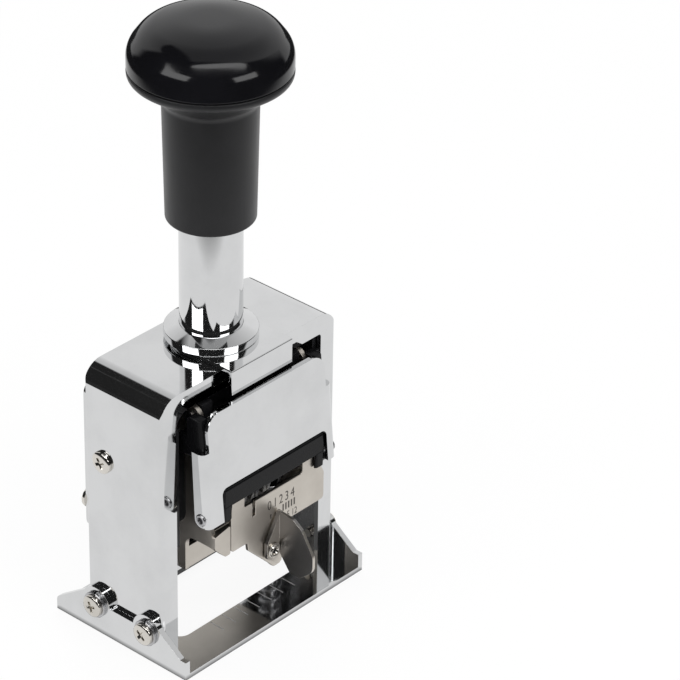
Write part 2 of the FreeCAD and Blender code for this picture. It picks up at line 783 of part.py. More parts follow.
def make_cam_plate(word, side):
    """A plate with the curved slot that swings the pad arm, hung under the casing's top."""
    low = follower_place(1.0)
    high = follower_place(0.0)
    half_slot = float(s.follower_radius + s.slot_clearance)
    front = low.y - half_slot - float(s.cam_front)
    back = high.y + half_slot + float(s.cam_back)
    bottom = low.z - half_slot - float(s.cam_front)
    start, end = (float(place_x) for place_x in side_span(side, p.cam_in, p.cam_out))
    top = float(p.casing_under - s.running_clearance)
    shoulder = float(p.casing_top - s.opening_drop - s.opening_corner)
    inside = -float(p.casing_deep - s.casing_sheet - s.part_gap)
    blank = Part.makeBox(end - start, back - front, shoulder - bottom, Vector(start, front, bottom))
    blank = blank.fuse(Part.makeBox(end - start, back - inside, top - bottom, Vector(start, inside, bottom)))
    inner, outer = (float(place_x) for place_x in side_span(side, p.cam_in - s.cam_foot, p.cam_in))
    foot = Part.makeBox(outer - inner, back - inside, float(s.cam_sheet),
                        Vector(inner, inside, float(p.casing_under - s.cam_sheet)))
    steps = int(s.swing_degrees // 5)
    path = [follower_place(number / steps) for number in range(steps + 1)]
    ahead, behind = [], []
    for number, point in enumerate(path):
        along = path[min(number + 1, steps)] - path[max(number - 1, 0)]
        square = Vector(0, -along.z, along.y).normalize() * half_slot
        ahead.append(point + square)
        behind.append(point - square)
    slot_face = Part.Face(Part.makePolygon(ahead + behind[::-1] + ahead[:1]))
    reach = Vector(end - start, 0, 0) * 3
    slot = slot_face.extrude(reach)
    slot.translate(Vector(start, 0, 0) - reach / 3)
    for point in (high, low):
        slot = slot.fuse(Part.makeCylinder(half_slot, reach.x, point + Vector(start, 0, 0) - reach / 3,
                                           Vector(1, 0, 0)))
    return placed("cam_plate_" + word, blank.fuse(foot).cut(slot).removeSplitter())


def placed(name, shape, height=0):
    """An object for a shape that is worked out directly, placed on the plunger's axis."""
    thing = doc.addObject("Part::Feature", name)
    thing.Shape = shape
    put(thing, 0, 0, height)
    return thing


def make_guides():
    """The two rods that steady the yoke, their feet and the springs round them."""
    rods, feet, springs = [], [], []
    for word, side in SIDES:
        across = (side * p.rod_side, s.rod_back)
        rods.append(rod("guide_rod_" + word, "Z", s.rod_radius, (s.base_sheet, p.casing_under - s.part_gap),
                        across))
        feet.append(tube("rod_foot_" + word, "Z", s.foot_radius, s.rod_radius,
                         (s.base_sheet, p.foot_top), across))
        springs.append(tube("return_spring_" + word, "Z", p.spring_out, p.spring_in,
                            (p.foot_top, p.arm_bottom), across))
    return {
        "guide_rods": group("guide_rods", *rods),
        "rod_feet": group("rod_feet", *feet),
        "return_springs": group("return_springs", *springs),
    }


def make_tube():
    """The plunger's tube, from the yoke up into the handle."""
    return turned("plunger_tube", [
        (s.tube_radius - s.tube_wall, p.yoke_top - s.seat_height),
        (s.tube_radius, p.yoke_top - s.seat_height),
        (s.tube_radius, p.sleeve_top),
        (s.tube_radius - s.tube_wall, p.sleeve_top),
    ])


def make_sleeve():
    """The handle: a waisted sleeve that flares out under the knob."""
    seam = p.seam_z
    wide = s.knob_radius
    shares = FLARE_SHARES
    return turned("handle_sleeve", [
        (s.tube_radius, p.sleeve_bottom),
        (s.sleeve_radius, p.sleeve_bottom, s.knob_seam),
        (s.sleeve_top_radius, p.sleeve_top, s.sleeve_top_radius / 4),
        (wide * shares["bell_out"], seam - s.flare_height * shares["bell_drop"], wide * shares["bell_round"]),
        (wide, seam - s.flare_height * shares["rim_drop"], wide * shares["rim_round"]),
        (wide, seam, s.knob_seam / 2),
        (wide - s.knob_wall, seam),
        (wide - s.knob_wall, p.knob_bottom),
        (p.stud_outer + s.knob_wall, p.knob_bottom),
        (p.stud_outer + s.knob_wall, seam),
        (p.stud_outer, seam),
        (p.stud_outer, p.sleeve_top),
        (s.tube_radius, p.sleeve_top),
    ])


def make_knob():
    """The knob's cap, a low dome with full shoulders."""
    wide = s.knob_radius
    tall = s.knob_height
    low = p.knob_bottom
    shares = DOME_SHARES
    return turned("knob_cap", [
        (0, low),
        (wide, low, s.knob_seam / 2),
        (wide, low + tall * shares["wall_rise"], wide * shares["wall_round"]),
        (wide * shares["shoulder_out"], low + tall * shares["shoulder_rise"],
         wide * shares["shoulder_round"]),
        (wide * shares["crown_out"], p.knob_top, wide * shares["crown_round"]),
        (0, p.knob_top),
    ])


def make_knob_stud():
    """The plug that joins the knob to the tube's upper end."""
    lower = p.sleeve_top - s.stud_reach
    return turned("knob_stud", [
        (0, lower),
        (s.tube_radius - s.tube_wall, lower),
        (s.tube_radius - s.tube_wall, p.sleeve_top),
        (p.stud_outer, p.sleeve_top),
        (p.stud_outer, p.knob_bottom),
        (0, p.knob_bottom),
    ])


def make_yoke():
    """The block at the tube's foot: arms to the guide rods, and ears for the pad arm."""
    block = box("yoke_block", (-p.side_in, p.side_in), (-s.yoke_front, s.yoke_back),
                (p.yoke_bottom, p.yoke_top))
    arms = box("yoke_arms", (-p.rod_side, p.rod_side),
               (s.rod_back - s.arm_depth / 2, s.rod_back + s.arm_depth / 2), (p.arm_bottom, p.yoke_top))
    tools = [rod("yoke_seat", "Z", s.tube_radius, (p.yoke_top - s.seat_height, p.yoke_top + s.seat_height),
                 (0, 0))]
    blanks = [block, arms]
    for word, side in SIDES:
        across = (side * p.rod_side, s.rod_back)
        blanks.append(rod("yoke_boss_" + word, "Z", p.spring_out, (p.arm_bottom, p.yoke_top), across))
        tools.append(rod("yoke_guide_" + word, "Z", s.rod_radius + s.running_clearance,
                         (p.yoke_bottom, p.casing_top), across))
        ear_x = side_span(side, p.side_out - s.ear_width, p.side_out)
        wall = s.eye_radius * s.ear_wall_share
        blanks.append(box("yoke_ear_" + word, ear_x, (p.pivot_y - wall, -s.yoke_front),
                          (p.pivot_z - wall, p.pivot_z + s.eye_radius)))
        tools.append(rod("yoke_pivot_" + word, "X", s.pivot_radius,
                         side_span(side, p.side_out - s.ear_width * 2, p.wing_in),
                         (p.pivot_y, p.pivot_z)))
        tools += [rod("yoke_rivet_hole_%s_%d" % (word, number), "X", s.rivet_radius,
                      side_span(side, p.side_in - s.ear_width, p.wing_in), (place_y, p.rivet_row))
                  for number, place_y in enumerate(rivet_backs())]
    return cut("yoke", fuse("yoke_blank", *blanks), *tools)


def rivet_backs():
    """How far back each side-plate rivet is."""
    return (-s.side_depth / 2, s.side_depth / 2)


def make_rivets_and_pins():
    """The rivets of the side plates, and the two pins that the pad arm swings on."""
    rivets, pins = [], []
    for word, side in SIDES:
        rivets += [rod("yoke_rivet_%s_%d" % (word, number), "X", s.rivet_radius,
                       side_span(side, p.side_in - s.ear_width, p.side_out), (place_y, p.rivet_row))
                   for number, place_y in enumerate(rivet_backs())]
        pins.append(rod("pivot_pin_" + word, "X", s.pivot_radius,
                        side_span(side, p.side_out - s.ear_width, p.wing_out + s.part_gap),
                        (p.pivot_y, p.pivot_z)))
    return {"yoke_rivets": group("yoke_rivets", *rivets), "pivot_pins": group("pivot_pins", *pins)}


def make_side_plate(word, side):
    """A plate beside the wheels, from the axle up to the yoke."""
    depth = s.side_depth
    outline = [
        (-depth, p.side_bottom, depth / 2),
        (depth, p.side_bottom, depth / 2),
        (depth, p.side_top),
        (-depth, p.side_top),
    ]
    holes = [(0, p.axle_z, s.axle_radius), (s.detent_back - s.detent_bar, p.detent_z, s.detent_bar / 2)]
    holes += [(place_y, p.rivet_row, s.rivet_radius) for place_y in rivet_backs()]
    return prism("side_plate_" + word, "YZ", outline, side_span(side, p.side_in, p.side_out), holes)


def make_axle():
    """The axle of the wheels, its clips and its spacers."""
    end = p.side_out + s.clip_sheet
    across = (0, p.axle_z)
    clips = []
    spacers = []
    for word, side in SIDES:
        clips.append(tube("axle_clip_" + word, "X", s.axle_radius + s.clip_reach, s.axle_radius,
                          side_span(side, p.side_out, end), across))
        spacers.append(tube("axle_spacer_" + word, "X", s.axle_radius + s.spacer_wall, s.axle_radius,
                            side_span(side, p.pack_half + s.wheel_gap / 2, p.cheek_in - s.part_gap), across))
    return {
        "wheel_axle": rod("wheel_axle", "X", s.axle_radius, (-end - s.axle_head, end + s.axle_head), across),
        "axle_clips": group("axle_clips", *clips),
        "axle_spacers": group("axle_spacers", *spacers),
    }


def make_wheel(number):
    """A digit wheel: a type band with ten raised blocks, and a ratchet beside it."""
    low = -p.pack_half + s.wheel_pitch * number + s.wheel_gap / 2
    high = low + s.wheel_pitch - s.wheel_gap
    band = float(high - low - s.ratchet_width)
    core = float(s.type_radius - s.type_height)
    bore = float(s.axle_radius + s.running_clearance)
    along = Vector(1, 0, 0)
    origin = Vector(float(low), 0, 0)
    body = Part.makeCylinder(core, band, origin, along)
    block_low = float(low) + (band - float(s.type_width)) / 2
    root = core * float(s.core_share)
    block = Part.makeBox(float(s.type_width), float(s.type_length), float(s.type_radius) - root,
                         Vector(block_low, -float(s.type_length) / 2, root))
    limit = Part.makeCylinder(float(s.type_radius), band, origin, along)
    block = block.common(limit)
    step = 360 / s.digit_count
    for turn in range(int(s.digit_count)):
        body = body.fuse(block.rotated(Vector(0, 0, 0), along, float(step * turn)))
    start = Vector(float(low) + band, 0, 0)
    deep = core - float(s.ratchet_depth)
    teeth = []
    for turn in range(int(s.digit_count)):
        angle = math.radians(step * turn)
        back = math.radians(step * (turn - float(s.hook_share)))
        teeth.append(start + Vector(0, core * math.sin(angle), core * math.cos(angle)))
        teeth.append(start + Vector(0, deep * math.sin(back + math.radians(step)),
                                    deep * math.cos(back + math.radians(step))))
    ratchet = Part.Face(Part.makePolygon(teeth + teeth[:1])).extrude(along * float(s.ratchet_width))
    hole = Part.makeCylinder(bore, float(high - low) * 2, origin - along * bore, along)
    wheel = body.fuse(ratchet).cut(hole).removeSplitter()
    return placed("digit_wheel_%d" % (number + 1), wheel, p.axle_z)


def polar(radius, degrees):
    """A point round the axle: the angle is counted up from straight back."""
    angle = math.radians(degrees)
    return Vector(0, float(radius) * math.cos(angle), float(p.axle_z) + float(radius) * math.sin(angle))


def ring_sector(inner, outer, low_x, high_x, first, last):
    """A piece of a ring round the axle, between two angles."""
    axis = Vector(1, 0, 0)
    centre = Vector(float(low_x), 0, float(p.axle_z))
    length = float(high_x - low_x)
    ring = Part.makeCylinder(float(outer), length, centre, axis)
    ring = ring.cut(Part.makeCylinder(float(inner), length, centre, axis))
    reach = float(outer) * 4
    wedge_points = [Vector(0, 0, float(p.axle_z))]
    for degrees in (first, (first + last) / 2, last):
        wedge_points.append(polar(reach, degrees))
    wedge = Part.Face(Part.makePolygon(wedge_points + wedge_points[:1])).extrude(axis * length)
    wedge.translate(Vector(float(low_x), 0, 0))
    return ring.common(wedge)


def make_feed():
    """The feed arm, a bail over the wheels on two cheeks, and its six stepping pawls."""
    cheek_out = p.cheek_in + s.feed_sheet
    inner = s.feed_radius
    outer = s.feed_radius + s.feed_depth
    first = float(s.feed_start_degrees)
    last = first + float(s.feed_degrees * s.arm_share)
    root = first + float(s.feed_degrees * s.pawl_share)
    along = Vector(1, 0, 0)
    hub_radius = float(s.axle_radius + s.spacer_wall)
    bore = Part.makeCylinder(float(s.axle_radius + s.running_clearance), float(cheek_out) * 2,
                             Vector(-float(cheek_out), 0, float(p.axle_z)), along)
    arm = ring_sector(inner, outer, -cheek_out, cheek_out, root, last)
    for word, side in SIDES:
        low, high = side_span(side, p.cheek_in, cheek_out)
        arm = arm.fuse(ring_sector(s.running_clearance, outer, low, high, root, last))
        hub = Part.makeCylinder(hub_radius, float(high - low), Vector(float(low), 0, float(p.axle_z)), along)
        arm = arm.fuse(hub)
    arm = placed("feed_arm", arm.cut(bore).removeSplitter())
    tip = s.type_radius - s.type_height + s.running_clearance
    pawls = []
    for number in range(int(s.wheel_count)):
        high = -p.pack_half + s.wheel_pitch * (number + 1) - s.wheel_gap
        thick = s.ratchet_width - s.wheel_gap
        corners = [point + along * float(high - thick) for point in (
            polar(inner, root), polar(inner + s.pawl_sheet, root),
            polar(tip + s.pawl_sheet, first), polar(tip, first))]
        finger = Part.Face(Part.makePolygon(corners + corners[:1])).extrude(along * float(thick))
        pawls.append(placed("feed_pawl_%d" % (number + 1), finger))
    return {"feed_arm": arm, "feed_pawls": group("feed_pawls", *pawls)}


def make_detent_comb():
    """A bar between the side plates with one spring finger behind each wheel."""
    across = (s.detent_back - s.detent_bar, p.detent_z)
    bar = rod("detent_bar", "X", s.detent_bar / 2, (-p.side_out, p.side_out), across)
    fingers = []
    tip_y = float(s.type_radius + s.part_gap * 2)
    for number in range(int(s.wheel_count)):
        low = -p.pack_half + s.wheel_pitch * number + s.wheel_gap
        thick = float(s.detent_sheet)
        y0, z0 = float(across[0]), float(across[1])
        z1 = float(p.axle_z)
        outline = [Vector(float(low), y0, z0 + thick), Vector(float(low), tip_y + thick, z0 - thick),
                   Vector(float(low), tip_y + thick, z1), Vector(float(low), tip_y, z1),
                   Vector(float(low), tip_y, z0 - thick * 2), Vector(float(low), y0, z0 - thick)]
        finger = Part.Face(Part.makePolygon(outline + outline[:1]))
        fingers.append(placed("detent_finger_%d" % (number + 1),
                              finger.extrude(Vector(float(s.wheel_pitch - s.wheel_gap * 2), 0, 0))))
    return fuse("detent_comb", bar, *fingers)


def make_pad_carrier():
    """The folded bracket that swings: two wings, a cross plate and a front return."""
    front = s.wing_front
    tray = s.tray_depth
    outline = [
        (-tray - s.running_clearance, p.tray_bottom),
        (-tray + s.pillar_width, p.tray_bottom),
        (-tray + s.pillar_width, s.wing_bottom + s.tray_sheet, s.pillar_width * WING_SHARES["pillar_round"]),
        (-s.wing_back, s.wing_bottom + s.pillar_width * WING_SHARES["pillar_rise"], s.pillar_width),
        (-s.wing_back, p.pivot_z - s.eye_radius * 3),
        (p.pivot_y + s.follower_back + s.follower_lobe, p.pivot_z - s.follower_drop - s.follower_lobe,
         s.follower_lobe / 2),
        (p.pivot_y + s.follower_back + s.follower_lobe, p.pivot_z - s.follower_drop + s.follower_lobe,
         s.follower_lobe),
        (p.pivot_y + s.eye_radius / 2, p.pivot_z + s.eye_radius, s.eye_radius / 2),
        (p.pivot_y - s.eye_radius, p.pivot_z + s.eye_radius, s.eye_radius * WING_SHARES["eye_round"]),
        (-front, p.pivot_z - s.eye_radius * 2),
        (-front, p.dial_top, s.pillar_width),
        (p.dial_back, p.cross_top, s.pillar_width / 2),
        (p.dial_back, s.wing_bottom, s.tray_sheet),
        (-tray - s.running_clearance, s.wing_bottom, s.pillar_width * WING_SHARES["heel_round"]),
    ]
    pieces = []
    for word, side in SIDES:
        span = side_span(side, p.wing_in, p.wing_out)
        holes = [(p.pivot_y, p.pivot_z, s.pivot_radius + s.running_clearance),
                 (p.pivot_y + s.follower_back, p.pivot_z - s.follower_drop, s.follower_radius)]
        pieces.append(prism("wing_" + word, "YZ", outline, span, holes))
    pieces.append(prism("carrier_cross", "XZ", [
        (-p.wing_out, s.wing_bottom),
        (-p.wing_out + s.pillar_width, s.dial_bottom),
        (p.wing_out - s.pillar_width, s.dial_bottom),
        (p.wing_out, s.wing_bottom),
        (p.wing_out, p.cross_top),
        (-p.wing_out, p.cross_top),
    ], (p.dial_back, p.dial_back + s.carrier_sheet)))
    inner = -(s.dial_left + s.part_gap)
    pieces.append(prism("carrier_return", "XZ", [
        (inner, s.dial_bottom, s.dial_corner / 2),
        (-p.wing_out + s.pillar_width, s.dial_bottom, s.dial_corner),
        (-p.wing_out, s.wing_bottom, s.dial_corner),
        (-p.wing_out, p.cross_top, s.dial_corner / 2),
        (inner, p.cross_top + s.dial_corner, s.dial_corner / 2),
    ], (-s.dial_front, p.dial_back)))
    return fuse("pad_carrier", *pieces)


def make_tray():
    """The tray under the wheels, and the felt pad in it."""
    half = p.wing_in
    deep, sheet = s.tray_depth, s.tray_sheet
    floor = box("tray_floor", (-half, half), (-deep, deep), (p.tray_bottom, p.tray_floor))
    wall = box("tray_front", (-half, half), (-deep, sheet - deep),
               (p.tray_bottom, p.tray_bottom + s.tray_wall))
    back = box("tray_back", (-half, half), (deep - sheet, deep), (p.tray_bottom, p.pad_top - s.part_gap))
    ends = [box("tray_end_" + word, side_span(side, half - sheet, half), (-deep, deep),
                (p.tray_bottom, p.tray_bottom + s.tray_lip)) for word, side in SIDES]
    pad = box("felt_block", (-s.pad_half_width, s.pad_half_width), (-s.pad_depth, s.pad_depth),
              (p.tray_floor, p.pad_top))
    return {"pad_tray": fuse("pad_tray", floor, wall, back, *ends), "ink_pad": pad}


def make_dial():
    """The dial plate, with its notch, slot and the round tab that carries the lever."""
    left, right = -s.dial_left, s.dial_right
    low, high = s.dial_bottom, p.dial_top
    notch, tab = NOTCH_SHARES, TAB_SHARES
    notch_left, notch_right = left * notch["left"], right * notch["right"]
    notch_low = high - s.dial_height * notch["drop"]
    slot_low = notch_low - s.dial_height * notch["slot_drop"]
    slot_side = left * notch["slot_side"]
    slot_half = s.dial_corner / 2
    wide = s.tab_radius
    x, z = s.lever_pivot_side, s.lever_pivot_height
    outline = [
        (left, low, s.dial_corner),
        (x - wide * tab["shoulder"], low),
        (x - wide * tab["tip"], low - wide * tab["tip_drop"], s.dial_corner),
        (x + wide * tab["waist"], z - wide * tab["waist_drop"], wide * tab["waist_round"]),
        (x + wide * tab["bottom_side"], z - wide * tab["bottom"], wide * tab["waist_round"]),
        (x + wide * tab["side"], z - wide * tab["side_drop"], wide * tab["waist_round"]),
        (x + wide * tab["root"], low),
        (right, low, s.dial_corner),
        (right, low + s.dial_height * notch["slope_low"], s.dial_corner),
        (right * notch["slope_out"], high, s.dial_corner),
        (notch_right, high, s.dial_corner / 2),
        (notch_right, notch_low, s.dial_corner),
        (slot_side + slot_half, notch_low),
        (slot_side + slot_half, slot_low),
        (slot_side - slot_half, slot_low),
        (slot_side - slot_half, notch_low),
        (notch_left, notch_low, s.dial_corner / 2),
        (notch_left, high, s.dial_corner / 2),
        (left, high, s.dial_corner),
    ]
    return prism("dial_plate", "XZ", outline, (-s.dial_front, p.dial_back), [(x, z, s.lever_screw_radius)])


def cover_y(height):
    """How far forward the leaning cover's face is at a height."""
    return -s.cover_front + s.cover_lean * ((height - s.cover_bottom) / s.cover_height)


def make_cover():
    """The leaning front cover, with its cut-out below and two short legs folded back."""
    half = p.cover_out
    low, top = s.cover_bottom, p.cover_top
    sheet = s.cover_sheet
    leg_top = low + s.leg_height
    face = prism("cover_face", "XZ", [
        (-half, low),
        (-s.cutout_left, low),
        (-s.cutout_left, low + s.cutout_height, s.cutout_corner),
        (s.cutout_right, low + s.cutout_height, s.cutout_corner),
        (s.cutout_right, low),
        (half, low),
        (half, leg_top),
        (half - s.cover_inset, leg_top),
        (half - s.cover_inset, top, s.cover_corner),
        (-half + s.cover_inset, top, s.cover_corner),
        (-half + s.cover_inset, leg_top),
        (-half, leg_top),
    ], (-s.cover_front * 2, -p.casing_deep))
    leaning = prism("cover_lean_sheet", "YZ", [
        (cover_y(low), low),
        (cover_y(low) + sheet, low),
        (cover_y(top) + sheet, top),
        (cover_y(top), top),
    ], (-half, half))
    legs, holes = [], []
    for word, side in SIDES:
        legs.append(prism("cover_leg_" + word, "YZ", [
            (cover_y(low), low, s.leg_round),
            (cover_y(low) + s.leg_depth, low, s.leg_round * LEG_SHARES["heel_round"]),
            (cover_y(leg_top) + s.leg_depth * LEG_SHARES["top_depth"], leg_top),
            (cover_y(leg_top), leg_top),
        ], side_span(side, p.cover_in, half)))
        holes.append(rod("cover_hole_" + word, "X", s.cover_shank_radius,
                         side_span(side, p.wing_out, half + sheet), (p.cover_rivet_y, p.rivet_z)))
    sharp = cut("cover_sharp", fuse("cover_blank", common("cover_sheet_blank", face, leaning), *legs), *holes)
    doc.recompute()
    edges = [(number + 1, float(s.cover_bend), float(s.cover_bend))
             for number, edge in enumerate(sharp.Shape.Edges) if is_cover_bend(edge)]
    rounded = doc.addObject("Part::Fillet", "front_cover")
    rounded.Base = sharp
    rounded.Edges = edges
    return rounded


def is_cover_bend(edge):
    """Whether an edge is one of the two long bends between the cover's face and its legs."""
    middle = edge.CenterOfMass
    on_side = abs(abs(middle.x) - p.cover_out) < s.running_clearance
    on_face = abs(middle.y - p.axis_y - cover_y(Size(middle.z, ""))) < s.running_clearance
    return on_side and on_face and edge.Length > s.leg_height / 2


def make_pad_frame():
    """The moulded frame behind the cover, which shows in the cut-out and beside the cover."""
    low, top = s.cover_bottom, p.cover_top
    gap = s.cover_sheet + s.running_clearance
    lug_high = p.pivot_z - s.pivot_radius - s.lug_gap
    lug_low = lug_high - s.lug_height
    rear = p.pivot_y - s.pivot_radius - s.part_gap
    foot = low - s.leg_round / 2
    wide = p.cover_in - s.running_clearance
    arms, holes = [], []
    for word, side in SIDES:
        arms.append(prism("frame_arm_" + word, "YZ", [
            (cover_y(low) + gap, foot, s.leg_round / 2),
            (cover_y(low) + gap + s.leg_depth * STRIP_SHARE, foot, s.leg_round / 2),
            (-s.wing_front, lug_low),
            (p.pivot_y + s.arm_width / 4, lug_low, s.dial_corner / 2),
            (p.pivot_y + s.arm_width / 4, lug_high, s.dial_corner / 2),
            (rear, lug_high),
            (rear, top - s.dial_corner, s.dial_corner),
            (cover_y(top) + gap, top - s.dial_corner),
        ], side_span(side, p.wing_out, wide)))
        holes.append(rod("frame_hole_" + word, "X", s.cover_shank_radius,
                         side_span(side, p.wing_out - s.part_gap, p.cover_in), (p.cover_rivet_y, p.rivet_z)))
    bar_low = p.dial_top + s.part_gap
    rib_top = low + s.cutout_height
    bar_top = rib_top + s.cutout_corner
    bar_front = cover_y(bar_top) + gap
    bar = box("frame_bar", (-wide, wide), (bar_front, -s.wing_front - s.part_gap), (bar_low, bar_top))
    inset = s.part_gap * 2
    left, right = -s.cutout_left + inset, s.cutout_right - inset
    rib = box("frame_rib", (left, right), (cover_y(bar_low) + s.cover_sheet / 2, bar_front),
              (bar_low, rib_top - inset))
    foot_back = -(s.dial_front + s.running_clearance)
    spans = (("left", (left, left + s.arm_width)), ("right", (right - s.arm_width, right)))
    feet = [box("frame_foot_" + word, span, (foot_back - s.lever_sheet, foot_back),
                (foot, bar_low + s.part_gap)) for word, span in spans]
    return cut("pad_frame", fuse("frame_blank", *arms, bar, rib, *feet), *holes)


def make_swing_pins():
    """The cover's two rivets, the two cam followers and the lever's screw."""
    rivets, followers = [], []
    for word, side in SIDES:
        rivets.append(fuse("cover_rivet_" + word,
                           rod("cover_rivet_shank_" + word, "X", s.cover_shank_radius,
                               side_span(side, p.wing_out, p.cover_out),
                               (p.cover_rivet_y, p.rivet_z)),
                           rod("cover_rivet_head_" + word, "X", s.cover_rivet_radius,
                               side_span(side, p.cover_out, p.cover_out + s.cover_rivet_head),
                               (p.cover_rivet_y, p.rivet_z))))
        followers.append(rod("cam_follower_" + word, "X", s.follower_radius,
                             side_span(side, p.wing_in, p.cam_out),
                             (p.pivot_y + s.follower_back, p.pivot_z - s.follower_drop)))
    across = (s.lever_pivot_side, s.lever_pivot_height)
    head_back = p.pointer_front - s.running_clearance
    screw = fuse("lever_screw",
                 rod("lever_screw_shank", "Y", s.lever_screw_radius, (head_back, p.dial_back), across),
                 rod("lever_screw_head", "Y", s.lever_head_radius,
                     (head_back - s.lever_head_height, head_back), across))
    return {
        "cover_rivets": group("cover_rivets", *rivets),
        "cam_followers": group("cam_followers", *followers),
        "lever_screw": screw,
    }


def make_lever():
    """The repeat lever: a pointer on the dial, folded forward into a thumb blade."""
    x, z = s.lever_pivot_side, s.lever_pivot_height
    long, side = s.pointer_length, s.blade_side
    shares = POINTER_SHARES
    pointer = prism("lever_pointer", "XZ", [
        (side - s.lever_sheet, z + long * shares["heel"], s.lever_sheet / 2),
        (side, z + long * shares["heel_out"]),
        (side, z + long * shares["tip"]),
        (side - s.lever_sheet * shares["tip_in"], z + long * shares["tip"]),
        (x + long * shares["left"], z + long * shares["left_high"], s.lever_sheet),
        (x + long * shares["left"], z + long * shares["left_low"], s.lever_sheet),
        (x, z + long * shares["foot"], s.lever_sheet),
    ], (p.pointer_front, p.lever_back), [(x, z, s.lever_screw_radius + s.running_clearance)])
    back = p.pointer_front + s.lever_sheet
    reach = s.blade_reach + s.lever_sheet
    corners = []
    for ahead_share, up_share, round_share in BLADE_SHARES:
        corner = (back - reach * ahead_share, z + long * up_share)
        corners.append(corner + (reach * round_share,) if round_share else corner)
    blade = prism("lever_blade", "YZ", corners, (side - s.lever_sheet * BLADE_SHEET_SHARE, side))
    return fuse("repeat_lever", pointer, blade)


place("spigot_bottom", p.yoke_top + s.part_gap)
place("collar_out", p.spigot_radius + s.collar_flange)
place("rear_screw_side", (p.opening_half + p.casing_in) / 2)
place("rivet_row", p.yoke_bottom + (p.side_top - p.yoke_bottom) / 2)
place("stud_outer", s.tube_radius - s.tube_wall / 2)
place("detent_z", p.axle_z + s.type_radius + s.feed_depth + s.detent_height)
place("cover_rivet_y", cover_y(p.rivet_z) + s.leg_depth / 2)
place("cross_top", s.dial_bottom + s.dial_height / 2)
place("cheek_in", p.side_in - s.part_gap - s.feed_sheet)


def build():
    """Makes every piece of the machine, under the name of its node."""
    pieces = {
        "base_plate": make_base_plate(),
        "casing": make_casing(),
        "top_lip_plate": make_lip_plate(),
        "plunger_collar": make_collar(),
        "collar_nut": make_collar_nut(),
        "rear_cover": make_rear_cover(),
        "plunger_tube": make_tube(),
        "handle_sleeve": make_sleeve(),
        "knob_cap": make_knob(),
        "knob_stud": make_knob_stud(),
        "yoke": make_yoke(),
        "detent_comb": make_detent_comb(),
        "pad_carrier": make_pad_carrier(),
        "dial_plate": make_dial(),
        "front_cover": make_cover(),
        "pad_frame": make_pad_frame(),
        "repeat_lever": make_lever(),
    }
    for word, side in SIDES:
        pieces["side_rail_" + word] = make_side_rail(word, side)
        pieces["cam_plate_" + word] = make_cam_plate(word, side)
        pieces["side_plate_" + word] = make_side_plate(word, side)
    for number in range(int(s.wheel_count)):
        pieces["digit_wheel_%d" % (number + 1)] = make_wheel(number)
    for family in (make_screws(), make_guides(), make_rivets_and_pins(), make_axle(), make_feed(),
                   make_tray(), make_swing_pins()):
        pieces.update(family)
    return pieces


def check_and_write(pieces):
    """Checks every object and every piece, then writes one file for each piece."""
    doc.recompute()
    failed = [thing.Name for thing in doc.Objects if "Invalid" in thing.State or "Error" in thing.State]
    if failed:
        raise RuntimeError("failed objects: " + ", ".join(failed))
    bad = [node for node, thing in pieces.items()
           if thing.Shape.isNull() or not thing.Shape.isValid() or not thing.Shape.Solids]
    if bad:
        raise RuntimeError("bad shapes: " + ", ".join(bad))
    os.makedirs("parts", exist_ok=True)
    for node, thing in pieces.items():
        thing.Label = node
        shape = thing.Shape
        shape.exportStep("parts/%s.step" % node)
        print("%-22s %d solid(s) %9.1f mm3" % (node, len(shape.Solids), shape.Volume))


check_and_write(build())
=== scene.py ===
"""Looks of a hand numbering machine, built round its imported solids.

Metres, in the solids' own frame: X along the wheel axle, -Y the dial side, Z up.
Sizes typed below are millimetres, counted from the plunger's axis, unless a name says else.
"""
import math

import bmesh
import bpy
import numpy as np
from mathutils import Matrix, Vector


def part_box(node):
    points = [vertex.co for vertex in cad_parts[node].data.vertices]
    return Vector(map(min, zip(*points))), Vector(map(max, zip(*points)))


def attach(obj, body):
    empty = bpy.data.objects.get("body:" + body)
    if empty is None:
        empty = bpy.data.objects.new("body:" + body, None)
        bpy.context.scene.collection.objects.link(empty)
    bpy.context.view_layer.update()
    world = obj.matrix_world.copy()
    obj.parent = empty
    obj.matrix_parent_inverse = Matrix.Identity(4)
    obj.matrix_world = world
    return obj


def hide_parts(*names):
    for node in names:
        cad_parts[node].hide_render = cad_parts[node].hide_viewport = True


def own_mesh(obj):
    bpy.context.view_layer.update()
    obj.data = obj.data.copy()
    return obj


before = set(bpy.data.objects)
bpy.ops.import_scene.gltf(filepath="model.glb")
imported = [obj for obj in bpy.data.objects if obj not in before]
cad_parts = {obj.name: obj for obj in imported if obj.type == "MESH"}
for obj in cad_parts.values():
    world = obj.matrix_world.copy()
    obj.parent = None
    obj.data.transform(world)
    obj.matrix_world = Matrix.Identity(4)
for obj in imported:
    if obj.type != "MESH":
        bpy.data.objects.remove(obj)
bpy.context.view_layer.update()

MM = 0.001
TUBE_LOW, TUBE_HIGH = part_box("plunger_tube")
AXIS_Y = (TUBE_LOW[1] + TUBE_HIGH[1]) / 2 / MM
AXLE_LOW, AXLE_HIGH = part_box("wheel_axle")
AXLE_Z = (AXLE_LOW[2] + AXLE_HIGH[2]) / 2 / MM


def at(x, y, z):
    """A point given in millimetres from the plunger's axis."""
    return Vector((x * MM, (y + AXIS_Y) * MM, z * MM))


def span(node):
    """A node's box, in millimetres from the plunger's axis."""
    low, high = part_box(node)
    return tuple((low[i] / MM - (AXIS_Y if i == 1 else 0), high[i] / MM - (AXIS_Y if i == 1 else 0))
                 for i in range(3))


# Materials.

